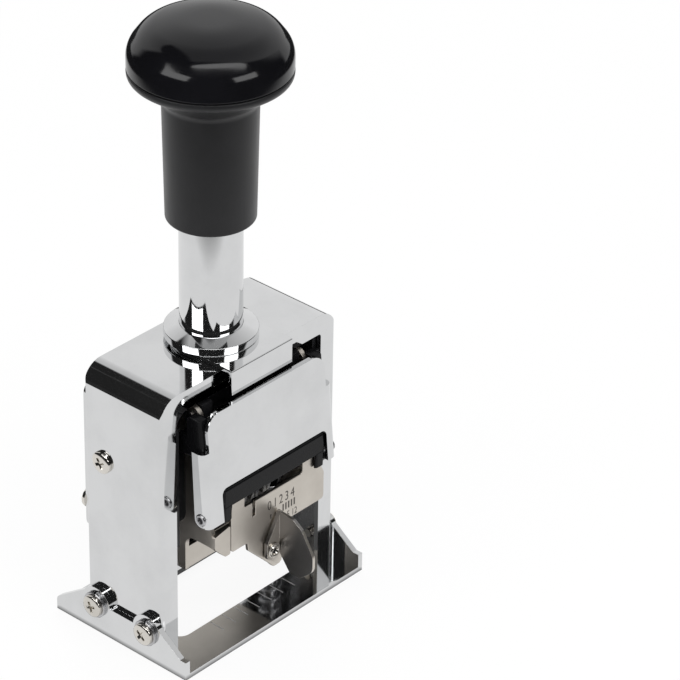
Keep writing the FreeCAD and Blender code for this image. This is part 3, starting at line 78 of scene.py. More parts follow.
def wire(tree, kind, inputs=None, **settings):
    """Adds a node, sets it up and joins sockets or numbers to its inputs."""
    node = tree.nodes.new(kind)
    for name, value in settings.items():
        setattr(node, name, value)
    for name, value in (inputs or {}).items():
        if isinstance(value, bpy.types.NodeSocket):
            tree.links.new(value, node.inputs[name])
        else:
            node.inputs[name].default_value = value
    return node


def new_group(name, inputs, outputs):
    """An empty shader group with named number sockets."""
    tree = bpy.data.node_groups.new(name, "ShaderNodeTree")
    for label, value in inputs.items():
        socket = tree.interface.new_socket(label, in_out="INPUT", socket_type="NodeSocketFloat")
        socket.default_value = value
    for label in outputs:
        tree.interface.new_socket(label, in_out="OUTPUT", socket_type="NodeSocketFloat")
    entry = tree.nodes.new("NodeGroupInput")
    leave = tree.nodes.new("NodeGroupOutput")
    return tree, entry.outputs, leave.inputs


def stretch(tree, source, scale):
    """The object's own coordinates, scaled along each axis."""
    return wire(tree, "ShaderNodeMapping", {"Vector": source, "Scale": scale}).outputs["Vector"]


def reckon(tree, operation, first, second=None, third=None):
    """The result of one sum on numbers or sockets."""
    given = {place: value for place, value in enumerate((first, second, third)) if value is not None}
    return wire(tree, "ShaderNodeMath", given, operation=operation).outputs[0]


def measure(tree, operation, first, second=None):
    """The result of one sum on vectors; a number where that is what it gives."""
    given = {place: value for place, value in enumerate((first, second)) if value is not None}
    node = wire(tree, "ShaderNodeVectorMath", given, operation=operation)
    return node.outputs["Value" if operation in ("DOT_PRODUCT", "LENGTH", "DISTANCE") else "Vector"]


def ramp(tree, value, low, high, to_low=0.0, to_high=1.0):
    """A number that moves evenly between two levels."""
    given = {"Value": value, "From Min": low, "From Max": high, "To Min": to_low, "To Max": to_high}
    return wire(tree, "ShaderNodeMapRange", given).outputs["Result"]


def sum_of(tree, first, second, factor):
    """first + second * factor."""
    return reckon(tree, "MULTIPLY_ADD", second, factor, first)


def noise(tree, place, scale, detail, roughness=0.5):
    """Cloudy noise, from 0 to 1."""
    given = {"Vector": place, "Scale": scale, "Detail": detail, "Roughness": roughness}
    return wire(tree, "ShaderNodeTexNoise", given).outputs["Fac"]


def make_handling_group():
    """Faint finger smears, hair scratches and the slow ripple of polished sheet."""
    tree, given, result = new_group(
        "handling_marks",
        {"Roughness": 0.06, "Smear": 0.03, "Scratch": 0.02, "Ripple": 0.4},
        ("Roughness", "Height", "Shade"))
    place = tree.nodes.new("ShaderNodeTexCoord").outputs["Object"]
    smear = ramp(tree, noise(tree, place, 55.0, 5.0, 0.6), 0.42, 0.75)
    hair = noise(tree, stretch(tree, place, (2600.0, 900.0, 90.0)), 1.0, 3.0)
    hair = ramp(tree, hair, 0.58, 0.72)
    rough = sum_of(tree, given["Roughness"], smear, given["Smear"])
    rough = sum_of(tree, rough, hair, given["Scratch"])
    height = reckon(tree, "MULTIPLY", noise(tree, place, 42.0, 1.0), given["Ripple"])
    tree.links.new(rough, result["Roughness"])
    tree.links.new(height, result["Height"])
    tree.links.new(smear, result["Shade"])
    return tree


def make_brushing_group():
    """Fine parallel lines left by brushing, with slow changes of tone."""
    tree, given, result = new_group(
        "brushed_lines",
        {"Across": 4200.0, "Along": 60.0, "Roughness": 0.28, "Spread": 0.16},
        ("Roughness", "Height", "Shade"))
    place = tree.nodes.new("ShaderNodeTexCoord").outputs["Object"]
    scale = wire(tree, "ShaderNodeCombineXYZ",
                 {"X": given["Along"], "Y": given["Across"], "Z": given["Across"]})
    grain = noise(tree, stretch(tree, place, scale.outputs[0]), 1.0, 4.0)
    rough = sum_of(tree, given["Roughness"], grain, given["Spread"])
    tree.links.new(rough, result["Roughness"])
    tree.links.new(grain, result["Height"])
    tree.links.new(noise(tree, place, 160.0, 3.0), result["Shade"])
    return tree


def make_stain_group():
    """Where dried ink and oil have settled; Mask is 0 where it is clean and 1 where it is full."""
    tree, given, result = new_group(
        "settled_ink", {"Scale": 300.0, "Low": 0.4, "High": 0.65}, ("Mask", "Height"))
    place = tree.nodes.new("ShaderNodeTexCoord").outputs["Object"]
    cloud = noise(tree, place, given["Scale"], 6.0, 0.65)
    tree.links.new(ramp(tree, cloud, given["Low"], given["High"]), result["Mask"])
    tree.links.new(cloud, result["Height"])
    return tree


GROUPS = {"handling": make_handling_group(), "brushing": make_brushing_group(), "stain": make_stain_group()}


def use_group(tree, key, **values):
    """Places a shared group in a material, with the material's own values."""
    node = tree.nodes.new("ShaderNodeGroup")
    node.node_tree = GROUPS[key]
    for name, value in values.items():
        node.inputs[name].default_value = value
    return node.outputs


def new_surface(name, color, metallic, roughness, **sockets):
    """A material with its Principled shader set up."""
    material = bpy.data.materials.new(name)
    material.use_nodes = True
    material.diffuse_color = (*color, 1.0)
    tree = material.node_tree
    shader = tree.nodes["Principled BSDF"]
    shader.inputs["Base Color"].default_value = (*color, 1.0)
    shader.inputs["Metallic"].default_value = metallic
    shader.inputs["Roughness"].default_value = roughness
    for label, value in sockets.items():
        shader.inputs[label.replace("_", " ")].default_value = value
    return material, tree, shader


def shade_between(tree, factor, low, high):
    """A colour that moves between two tones with a mask."""
    mix = wire(tree, "ShaderNodeMix", data_type="RGBA")
    tree.links.new(factor, mix.inputs[0])
    mix.inputs[6].default_value = (*low, 1.0)
    mix.inputs[7].default_value = (*high, 1.0)
    return mix.outputs[2]


def raise_bump(tree, shader, height, distance, strength=1.0):
    """Feeds a height to the shader's normal; the distance is in metres."""
    bump = wire(tree, "ShaderNodeBump", {"Height": height, "Distance": distance, "Strength": strength})
    tree.links.new(bump.outputs["Normal"], shader.inputs["Normal"])


def plated(name, low, high, roughness, smear, scratch, ripple):
    """Polished plating over steel, with the marks of handling."""
    material, tree, shader = new_surface(name, high, 1.0, roughness)
    marks = use_group(tree, "handling", Roughness=roughness, Smear=smear, Scratch=scratch, Ripple=ripple)
    tree.links.new(shade_between(tree, marks["Shade"], high, low), shader.inputs["Base Color"])
    tree.links.new(marks["Roughness"], shader.inputs["Roughness"])
    raise_bump(tree, shader, marks["Height"], 0.00002)
    return material


def brushed(name, low, high, roughness, spread, across=4200.0, along=60.0):
    """Satin metal with fine brushed lines."""
    material, tree, shader = new_surface(name, high, 1.0, roughness)
    lines = use_group(tree, "brushing", Roughness=roughness, Spread=spread, Across=across, Along=along)
    tree.links.new(shade_between(tree, lines["Shade"], low, high), shader.inputs["Base Color"])
    tree.links.new(lines["Roughness"], shader.inputs["Roughness"])
    raise_bump(tree, shader, lines["Height"], 0.000006)
    return material


def moulded(name, color, roughness, smear, scratch, **sockets):
    """Black moulding with faint wipe marks."""
    material, tree, shader = new_surface(name, color, 0.0, roughness, **sockets)
    marks = use_group(tree, "handling", Roughness=roughness, Smear=smear, Scratch=scratch, Ripple=0.5)
    tone = shade_between(tree, marks["Shade"], color, tuple(part * 1.5 for part in color))
    tree.links.new(tone, shader.inputs["Base Color"])
    tree.links.new(marks["Roughness"], shader.inputs["Roughness"])
    raise_bump(tree, shader, marks["Height"], 0.00001)
    return material


def make_blackened():
    """Blackened steel, with oil gathered in cloudy patches; the same black also stands for painted shade in
    the centres of the rivets and the pivot.
    """
    material, tree, shader = new_surface("blackened_steel", (0.022, 0.022, 0.024), 0.6, 0.4)
    stain = use_group(tree, "stain", Scale=180.0, Low=0.35, High=0.7)
    tone = shade_between(tree, stain["Mask"], (0.030, 0.030, 0.033), (0.012, 0.012, 0.013))
    tree.links.new(tone, shader.inputs["Base Color"])
    tree.links.new(ramp(tree, stain["Mask"], 0.0, 1.0, 0.45, 0.28), shader.inputs["Roughness"])
    raise_bump(tree, shader, stain["Height"], 0.00003)
    return material


def make_type_metal():
    """Steel type wheels, grey on the faces and dark where ink has dried."""
    material, tree, shader = new_surface("type_metal", (0.30, 0.29, 0.28), 0.9, 0.4)
    stain = use_group(tree, "stain", Scale=420.0, Low=0.42, High=0.62)
    tone = shade_between(tree, stain["Mask"], (0.36, 0.35, 0.33), (0.05, 0.05, 0.06))
    tree.links.new(tone, shader.inputs["Base Color"])
    tree.links.new(ramp(tree, stain["Mask"], 0.0, 1.0, 0.3, 0.55), shader.inputs["Roughness"])
    raise_bump(tree, shader, stain["Height"], 0.00003)
    return material


def make_felt():
    """Felt soaked with black ink: short fibres, damp in patches."""
    material, tree, shader = new_surface("inked_felt", (0.015, 0.015, 0.02), 0.0, 0.9, Sheen_Weight=0.25)
    place = tree.nodes.new("ShaderNodeTexCoord").outputs["Object"]
    fibre = noise(tree, stretch(tree, place, (2500.0, 900.0, 1500.0)), 1.0, 6.0, 0.7)
    damp = use_group(tree, "stain", Scale=220.0, Low=0.35, High=0.65)
    tone = shade_between(tree, fibre, (0.006, 0.006, 0.010), (0.040, 0.040, 0.048))
    tree.links.new(tone, shader.inputs["Base Color"])
    tree.links.new(ramp(tree, damp["Mask"], 0.0, 1.0, 0.95, 0.55), shader.inputs["Roughness"])
    raise_bump(tree, shader, fibre, 0.00022)
    return material


def make_engraving(name, low, high):
    """The dull floor of an engraved or stamped line."""
    material, tree, shader = new_surface(name, high, 0.5, 0.6)
    stain = use_group(tree, "stain", Scale=900.0, Low=0.35, High=0.7)
    tree.links.new(shade_between(tree, stain["Mask"], high, low), shader.inputs["Base Color"])
    raise_bump(tree, shader, stain["Height"], 0.00001)
    return material


CHROME = plated("bright_plating", (0.66, 0.665, 0.67), (0.74, 0.745, 0.75), 0.045, 0.05, 0.04, 0.25)
# Bright nickel for the screws and the pivot; on the lever's rounded rim it is partly a painted highlight.
NICKEL_BRIGHT_AND_RIM_HIGHLIGHT = plated("bright_nickel", (0.60, 0.57, 0.52), (0.74, 0.71, 0.66), 0.12, 0.08, 0.06, 0.4)
# A darker copy of the nickel: painted shade on the lever's blade.
NICKEL_PAINTED_SHADE = plated("dark_nickel", (0.20, 0.195, 0.19), (0.26, 0.25, 0.245), 0.30, 0.10, 0.05, 0.4)
NICKEL_SATIN = brushed("satin_nickel", (0.52, 0.48, 0.43), (0.70, 0.66, 0.60), 0.27, 0.14)
STEEL = brushed("bright_steel", (0.42, 0.42, 0.43), (0.60, 0.60, 0.61), 0.22, 0.14)
BLACK_GLOSS = moulded("gloss_black", (0.004, 0.004, 0.005), 0.10, 0.03, 0.05, Specular_IOR_Level=0.38)
BLACK_SATIN = moulded("satin_black", (0.010, 0.010, 0.011), 0.33, 0.08, 0.06, Specular_IOR_Level=0.36)
BLACK_FRAME = moulded("frame_black", (0.004, 0.004, 0.0045), 0.22, 0.08, 0.05, Specular_IOR_Level=0.14)
BLACKENED_AND_SHADE = make_blackened()
TYPE_METAL = make_type_metal()
FELT = make_felt()
DIAL_MARK = make_engraving("dial_marking", (0.05, 0.045, 0.04), (0.12, 0.11, 0.10))
BASE_MARK = make_engraving("base_marking", (0.30, 0.30, 0.30), (0.50, 0.50, 0.50))


# Mesh making.

def to_object(name, mesh, material):
    """A scene object for a mesh, with one material."""
    mesh.name = name
    mesh.materials.clear()
    mesh.materials.append(material)
    thing = bpy.data.objects.new(name, mesh)
    bpy.context.scene.collection.objects.link(thing)
    return thing


def from_bmesh(name, made, material, sharp=32.0):
    """Turns a bmesh into an object with smooth shading between its sharp edges."""
    bmesh.ops.recalc_face_normals(made, faces=made.faces)
    mesh = bpy.data.meshes.new(name)
    made.to_mesh(mesh)
    made.free()
    mesh.shade_smooth()
    mesh.set_sharp_from_angle(angle=math.radians(sharp))
    return to_object(name, mesh, material)


def settle(thing):
    """Bakes an object's modifiers into its mesh."""
    graph = bpy.context.evaluated_depsgraph_get()
    mesh = bpy.data.meshes.new_from_object(thing.evaluated_get(graph), depsgraph=graph)
    old = thing.data
    thing.modifiers.clear()
    thing.data = mesh
    mesh.name = thing.name
    bpy.data.meshes.remove(old)


def hand_over(thing, body, slot, *nodes):
    """Says what a finished piece rides on and hides the nodes that it stands for; slot is not used."""
    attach(thing, body)
    if nodes:
        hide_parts(*nodes)


def softened(node, name, material, body, slot, width, bend=None, shade_split=None, rim=None):
    """A copy of a node with its edges rounded over.

    bend is the width for its long outer edges, if they are rounder than the rest. The argument after
    bend holds a function that gives a face's material number, then the other materials; on the lever
    these paint shade on the blade with a darker copy of the nickel. rim is the material number of the
    rounded edges; on the lever it is the bright nickel, partly a painted highlight.
    """
    made = bmesh.new()
    made.from_mesh(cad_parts[node].data)
    bmesh.ops.remove_doubles(made, verts=made.verts, dist=2e-6)
    bmesh.ops.dissolve_limit(made, angle_limit=math.radians(0.6), verts=made.verts, edges=made.edges)
    weights = made.edges.layers.float.new("bevel_weight_edge")
    for edge in made.edges:
        sharp = len(edge.link_faces) == 2 and edge.calc_face_angle_signed(0.0) > math.radians(50.0)
        edge[weights] = 1.0 if bend and sharp and edge.calc_length() > bend * 4.0 * MM else 0.0
    shade_numbers = [shade_split[0](face) if shade_split else 0 for face in made.faces]
    mesh = bpy.data.meshes.new(name)
    made.to_mesh(mesh)
    made.free()
    mesh.shade_smooth()
    thing = to_object(name, mesh, material)
    for other in (shade_split[1:] if shade_split else ()):
        mesh.materials.append(other)
    mesh.polygons.foreach_set("material_index", shade_numbers)
    if bend:
        fold = thing.modifiers.new("bends", "BEVEL")
        fold.width, fold.segments, fold.limit_method = bend * MM, 5, "WEIGHT"
        fold.use_clamp_overlap = False
    bevel = thing.modifiers.new("edge", "BEVEL")
    bevel.width, bevel.segments, bevel.limit_method = width * MM, 3, "ANGLE"
    bevel.angle_limit = math.radians(34.0)
    bevel.use_clamp_overlap = True
    bevel.miter_outer = "MITER_ARC"
    if rim is not None:
        bevel.material = rim
    weighted = thing.modifiers.new("flats", "WEIGHTED_NORMAL")
    weighted.keep_sharp = False
    weighted.weight = 90
    settle(thing)
    hand_over(thing, body, slot, node)


def rounded_profile(profile, steps=6):
    """A (radius, height, round) outline with its corners turned into arcs."""
    points = []
    count = len(profile)
    for number, corner in enumerate(profile):
        here = Vector(corner[:2])
        rounding = corner[2] if len(corner) > 2 else 0.0
        if not rounding:
            points.append(here)
            continue
        back = (Vector(profile[number - 1][:2]) - here).normalized()
        ahead = (Vector(profile[(number + 1) % count][:2]) - here).normalized()
        half = back.angle(ahead) / 2
        reach = rounding / math.tan(half)
        centre = here + (back + ahead).normalized() * (rounding / math.sin(half))
        first, last = here + back * reach - centre, here + ahead * reach - centre
        turn = first.angle_signed(last)
        pieces = max(3, int(steps * abs(turn) / 0.8))
        for step in range(pieces + 1):
            points.append(centre + Matrix.Rotation(-turn * step / pieces, 2) @ first)
    return points


def skin(made, pairs):
    """Faces between pairs of rings of points; a ring of one point gets a fan."""
    for first, second in pairs:
        count = max(len(first), len(second))
        for place in range(count if count > 1 else 0):
            after = (place + 1) % count
            corners = dict.fromkeys((first[place % len(first)], first[after % len(first)],
                                     second[after % len(second)], second[place % len(second)]))
            if len(corners) > 2:
                made.faces.new(list(corners))


def lathe(name, profile, material, centre=(0.0, 0.0), axis="Z", segments=128, steps=6, sharp=32.0,
          closed=True):
    """A piece turned about an axis; its profile is (radius, place along the axis, round)."""
    outline = rounded_profile(profile, steps)
    made = bmesh.new()
    rings = []
    for radius, along in outline:
        ring = []
        for number in range(1 if radius < 1e-6 else segments):
            angle = 2 * math.pi * number / segments
            u, v = radius * math.cos(angle), radius * math.sin(angle)
            spots = {"Z": (centre[0] + u, centre[1] + v, along), "X": (along, centre[0] + u, centre[1] + v),
                     "Y": (centre[0] + u, along, centre[1] + v)}
            ring.append(made.verts.new(at(*spots[axis])))
        rings.append(ring)
    skin(made, zip(rings, rings[1:] + (rings[:1] if closed else [])))
    bmesh.ops.remove_doubles(made, verts=made.verts, dist=1e-7)
    return from_bmesh(name, made, material, sharp)


def joined(name, things, material=None):
    """Several meshes as one object; each keeps its own material if none is given."""
    made = bmesh.new()
    materials = []
    for thing in things:
        mesh = thing.data
        own = thing.data.materials[0]
        if own not in materials:
            materials.append(own)
        start = len(made.faces)
        made.from_mesh(mesh)
        made.faces.ensure_lookup_table()
        for face in made.faces[start:]:
            face.material_index = materials.index(own)
        bpy.data.objects.remove(thing)
        bpy.data.meshes.remove(mesh)
    mesh = bpy.data.meshes.new(name)
    made.to_mesh(mesh)
    made.free()
    whole = bpy.data.objects.new(name, mesh)
    for own in ([material] if material else materials):
        mesh.materials.append(own)
    bpy.context.scene.collection.objects.link(whole)
    return whole


def new_rule(name, inputs, output):
    """An empty tree of geometry nodes with named inputs; gives the tree, its inputs and its exit."""
    tree = bpy.data.node_groups.new(name, "GeometryNodeTree")
    for label, kind in inputs.items():
        tree.interface.new_socket(label, in_out="INPUT", socket_type="NodeSocket" + kind)
    tree.interface.new_socket(output, in_out="OUTPUT", socket_type="NodeSocketGeometry")
    return tree, tree.nodes.new("NodeGroupInput").outputs, tree.nodes.new("NodeGroupOutput").inputs[0]


def end_rule(tree, shape, material, leave):
    """Makes a rule's copies real and gives them their material."""
    real = wire(tree, "GeometryNodeRealizeInstances", {"Geometry": shape})
    coat = wire(tree, "GeometryNodeSetMaterial",
                {"Geometry": real.outputs["Geometry"], "Material": material})
    tree.links.new(coat.outputs["Geometry"], leave)


def run_rule(name, mesh, tree, values):
    """An object whose mesh is a rule's result, for the given inputs."""
    thing = bpy.data.objects.new(name, mesh)
    bpy.context.scene.collection.objects.link(thing)
    rule = thing.modifiers.new("rule", "NODES")
    rule.node_group = tree
    for item in tree.interface.items_tree:
        if item.in_out == "INPUT" and item.name in values:
            rule[item.identifier] = values[item.name]
    settle(thing)
    return thing


def repeat(name, master, places, material):
    """Copies of a master piece at (place, turn) pairs, made by a tree of geometry nodes."""
    tree, given, leave = new_rule(
        name + "_rule", {"Places": "Geometry", "Piece": "Object", "Size": "Float"}, "Pieces")
    info = wire(tree, "GeometryNodeObjectInfo", {"Object": given["Piece"]}, transform_space="ORIGINAL")
    turn = wire(tree, "GeometryNodeInputNamedAttribute", {"Name": "turn"}, data_type="FLOAT_VECTOR")
    euler = wire(tree, "FunctionNodeEulerToRotation", {"Euler": turn.outputs["Attribute"]})
    copies = wire(tree, "GeometryNodeInstanceOnPoints", {
        "Points": given["Places"], "Instance": info.outputs["Geometry"],
        "Rotation": euler.outputs["Rotation"], "Scale": given["Size"]})
    end_rule(tree, copies.outputs["Instances"], material, leave)
    mesh = bpy.data.meshes.new(name)
    mesh.from_pydata([tuple(place) for place, _ in places], [], [])
    turns = mesh.attributes.new("turn", "FLOAT_VECTOR", "POINT")
    for number, (_, angles) in enumerate(places):
        turns.data[number].vector = angles
    thing = run_rule(name, mesh, tree, {"Piece": master, "Size": 1.0})
    bpy.data.objects.remove(master)
    return thing


def block(made, x, y, z):
    """Adds a box to a bmesh, in millimetres from the plunger's axis."""
    corners = [made.verts.new(at(a, b, c)) for a in x for b in y for c in z]
    for face in ((0, 1, 3, 2), (4, 6, 7, 5), (0, 4, 5, 1), (2, 3, 7, 6), (0, 2, 6, 4), (1, 5, 7, 3)):
        made.faces.new([corners[number] for number in face])


def text_mesh(name, words, height, depth, narrow=1.0):
    """A word as a mesh on the XY plane, centred, its height in millimetres."""
    curve = bpy.data.curves.new(name, "FONT")
    curve.body = words
    curve.align_x = "CENTER"
    curve.align_y = "CENTER"
    curve.size = height * MM / 0.7
    curve.extrude = depth * MM / 2
    curve.resolution_u = 3
    thing = bpy.data.objects.new(name, curve)
    bpy.context.scene.collection.objects.link(thing)
    graph = bpy.context.evaluated_depsgraph_get()
    graph.update()
    mesh = bpy.data.meshes.new_from_object(thing.evaluated_get(graph), depsgraph=graph)
    bpy.data.objects.remove(thing)
    bpy.data.curves.remove(curve)
    mesh.transform(Matrix.Diagonal((narrow, 1.0, 1.0, 1.0)))
    return mesh


# The camera, the floor and the light.

SENSOR_WIDTH = 36.0
FRAME_PIXELS = 680
FOCAL_PIXELS = 3645.45
CAMERA_PLACE = (-511.2, -487.2, 499.9)
CAMERA_RIGHT = (0.6667, -0.7452, 0.0162)
CAMERA_BACK = (-0.6419, -0.563, 0.5206)

# Directions as the machine sees them: to the middle of the backdrop, and along it to the left.
TOWARD_BACKDROP = (0.7507, 0.6606, 0.0)
ACROSS_BACKDROP = (-0.68, 0.73, 0.0)

# Metres: the floor, the shade that the metal sees beside the base, and the lit patch of floor.
FLOOR_RADIUS = 2.5
SHADE_REACH = 0.0015
LIT_MIDDLE = (0.075, 0.066, 0.0)
LIT_INNER, LIT_OUTER = 0.255, 0.31
LAMP_AIM = (0.0, 0.0, 0.147)


def make_camera():
    """The photograph's point of view."""
    data = bpy.data.cameras.new("view")
    data.sensor_width = SENSOR_WIDTH
    data.lens = FOCAL_PIXELS / FRAME_PIXELS * SENSOR_WIDTH
    data.clip_start = 0.05
    camera = bpy.data.objects.new("view", data)
    right = Vector(CAMERA_RIGHT).normalized()
    back = Vector(CAMERA_BACK).normalized()
    up = back.cross(right).normalized()
    right = up.cross(back).normalized()
    turn = Matrix((right, up, back)).transposed().to_4x4()
    camera.matrix_world = Matrix.Translation(at(*CAMERA_PLACE)) @ turn
    bpy.context.scene.collection.objects.link(camera)
    bpy.context.scene.camera = camera


def seen_by_metal(tree, path):
    """1 for rays that leave metal or glass, from the outputs of a Light Path node."""
    return reckon(tree, "MAXIMUM", path["Is Glossy Ray"], path["Is Transmission Ray"])


def pick(tree, choice, no, yes):
    """One of two numbers, or a mix of them."""
    mix = wire(tree, "ShaderNodeMix", {0: choice, 2: no, 3: yes}, data_type="FLOAT")
    return mix.outputs[0]


def make_floor():
    """A pale floor: white to the eye, lit near the machine and shaded under it for the metal."""
    made = bmesh.new()
    bmesh.ops.create_circle(made, cap_ends=True, segments=96, radius=FLOOR_RADIUS)
    material, tree, shader = new_surface("pale_floor", (0.92, 0.92, 0.92), 0.0, 0.9)
    floor = from_bmesh("floor", made, material)
    place = tree.nodes.new("ShaderNodeTexCoord").outputs["Object"]
    low, high = (Vector(corner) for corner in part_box("base_plate"))
    middle, half = (low + high) / 2, (high - low) / 2
    beside = measure(tree, "ABSOLUTE", measure(tree, "SUBTRACT", place, (middle.x, middle.y, 0.0)))
    beside = measure(tree, "SUBTRACT", beside, (half.x, half.y, 0.0))
    beside = measure(tree, "LENGTH", measure(tree, "MAXIMUM", beside, (0.0, 0.0, 0.0)))
    open_floor = ramp(tree, beside, 0.0, SHADE_REACH, 0.10, 1.0)
    reach = measure(tree, "DISTANCE", place, LIT_MIDDLE)
    lit = reckon(tree, "MULTIPLY", open_floor, ramp(tree, reach, LIT_OUTER, LIT_INNER, 0.03, 1.0))
    path = tree.nodes.new("ShaderNodeLightPath").outputs
    metal = seen_by_metal(tree, path)
    share = reckon(tree, "MAXIMUM", reckon(tree, "MULTIPLY", path["Is Camera Ray"], 0.90), metal)
    strength = pick(tree, metal, 1.0, reckon(tree, "MULTIPLY", lit, 0.86))
    glow = wire(tree, "ShaderNodeEmission", {"Color": (1.0, 1.0, 1.0, 1.0), "Strength": strength})
    mix = wire(tree, "ShaderNodeMixShader", {0: share})
    tree.links.new(shader.outputs[0], mix.inputs[1])
    tree.links.new(glow.outputs[0], mix.inputs[2])
    tree.links.new(mix.outputs[0], tree.nodes["Material Output"].inputs["Surface"])
    floor.location.z = -0.0002


def make_world():
    """White round the object for the eye; a lit backdrop between dark sides for the metal."""
    world = bpy.data.worlds.new("studio")
    bpy.context.scene.world = world
    world.use_nodes = True
    tree = world.node_tree
    tree.nodes.clear()
    way = tree.nodes.new("ShaderNodeTexCoord").outputs["Generated"]
    toward = measure(tree, "DOT_PRODUCT", way, TOWARD_BACKDROP)
    across = measure(tree, "DOT_PRODUCT", way, ACROSS_BACKDROP)
    height = wire(tree, "ShaderNodeSeparateXYZ", {0: way}).outputs["Z"]

    # The backdrop starts where "toward" passes an edge that changes with the height.
    left_end = reckon(tree, "SUBTRACT", ramp(tree, height, 0.0, 0.78, 0.60, 0.10),
                      ramp(tree, height, 0.78, 0.90, 0.0, 0.45))
    right_end = ramp(tree, height, 0.25, 0.76, 0.50, -0.36)
    gap = reckon(tree, "SUBTRACT", left_end, right_end)
    edge = sum_of(tree, right_end, ramp(tree, across, -0.1, 0.1), gap)
    ahead = reckon(tree, "SUBTRACT", toward, edge)

    # It ends at the left, and gets darker towards the zenith.
    side = reckon(tree, "SUBTRACT", across, ramp(tree, height, 0.62, 0.80, 0.95, 0.31))
    lit = reckon(tree, "MULTIPLY", ramp(tree, ahead, -0.05, 0.05), ramp(tree, side, 0.06, -0.02))
    level = reckon(tree, "MULTIPLY", lit, ramp(tree, height, 0.50, 0.97, 0.86, 0.40))
    level = reckon(tree, "ADD", level, 0.018)

    path = tree.nodes.new("ShaderNodeLightPath").outputs
    metal = seen_by_metal(tree, path)
    strength = pick(tree, path["Is Camera Ray"], pick(tree, metal, 0.7, level), 1.0)
    sky = wire(tree, "ShaderNodeBackground", {"Color": (1.0, 1.0, 1.0, 1.0), "Strength": strength})
    leave = tree.nodes.new("ShaderNodeOutputWorld")
    tree.links.new(sky.outputs[0], leave.inputs["Surface"])


def add_lamp(name, place, wide, tall, power, shape="RECTANGLE"):
    """A soft lamp that looks at the machine's middle; metres and watts."""
    data = bpy.data.lights.new(name, "AREA")
    data.shape = shape
    data.size, data.size_y = wide, tall
    data.energy = power
    lamp = bpy.data.objects.new(name, data)
    lamp.location = place
    lamp.rotation_euler = (Vector(LAMP_AIM) - Vector(place)).to_track_quat("-Z", "Y").to_euler()
    bpy.context.scene.collection.objects.link(lamp)
    return lamp


def make_lamps():
    """Two windows beside the camera, a wide oval over it and a fill that only matt faces see."""
    add_lamp("window_left", (-0.874, 0.123, 0.616), 0.66, 0.34, 2.4)
    add_lamp("window_right", (0.048, -0.926, 0.53), 0.56, 0.32, 1.9)
    oval = add_lamp("oval_front", (-0.25, -0.45, 0.884), 1.15, 0.22, 2.2, "ELLIPSE")
    oval.rotation_euler.rotate_axis("Z", math.radians(-9.0))
    fill = add_lamp("backdrop_fill", (0.75, 0.66, 0.75), 0.8, 0.8, 3.0)
    fill.visible_glossy = False


make_camera()
make_world()
make_floor()
make_lamps()
bpy.context.scene.view_settings.view_transform = "Standard"


# Sheet pieces with rounded edges.

def blade_faces(face):
    """1 for the lever's turned-up blade, which takes the painted shade, 0 for the foot that lies along the
    dial.
    """
    return int(abs(face.normal.y) < 0.85)


SHEETS = (
    # In the order of softened()'s arguments.
    ("casing", "arched_casing", CHROME, "frame", "plated_steel", 0.14),
    ("base_plate", "folded_base", CHROME, "frame", "plated_steel", 0.30),
    ("top_lip_plate", "folded_lip", CHROME, "frame", "plated_steel", 0.30),
    ("rear_cover", "back_plate", CHROME, "frame", "plated_steel", 0.25),
    ("side_rail_left", "inner_rail_left", STEEL, "frame", "satin_nickel", 0.12),
    ("side_rail_right", "inner_rail_right", STEEL, "frame", "satin_nickel", 0.12),
    ("cam_plate_left", "slot_plate_left", BLACKENED_AND_SHADE, "frame", "dark_steel", 0.12),
    ("cam_plate_right", "slot_plate_right", BLACKENED_AND_SHADE, "frame", "dark_steel", 0.12),
    ("yoke", "cross_yoke", BLACKENED_AND_SHADE, "plunger", "dark_steel", 0.25),
    ("side_plate_left", "wheel_plate_left", BLACKENED_AND_SHADE, "plunger", "dark_steel", 0.12),
    ("side_plate_right", "wheel_plate_right", BLACKENED_AND_SHADE, "plunger", "dark_steel", 0.12),
    ("detent_comb", "spring_comb", STEEL, "plunger", "bare_steel", 0.08),
    ("feed_arm", "stepping_arm", BLACKENED_AND_SHADE, "feed_arm", "dark_steel", 0.15),
    ("front_cover", "leaning_cover", CHROME, "pad_arm", "plated_steel", 0.20),
    ("pad_carrier", "swing_bracket", NICKEL_SATIN, "pad_arm", "satin_nickel", 0.20),
    ("pad_tray", "felt_tray", NICKEL_SATIN, "pad_arm", "satin_nickel", 0.15),
    ("dial_plate", "dial_face", NICKEL_SATIN, "pad_arm", "satin_nickel", 0.15),
    ("pad_frame", "black_surround", BLACK_FRAME, "pad_arm", "satin_black", 0.25, 0.7),
    # The lever's blade takes a darker copy of the nickel as painted shade; its rounded rim takes the bright
    # nickel, partly a painted highlight.
    ("repeat_lever", "thumb_lever", NICKEL_SATIN, "repeat_lever", "satin_nickel", 0.24, None,
     (blade_faces, NICKEL_PAINTED_SHADE, NICKEL_BRIGHT_AND_RIM_HIGHLIGHT), 2),
)
for row in SHEETS:
    softened(*row)


# Turned pieces.

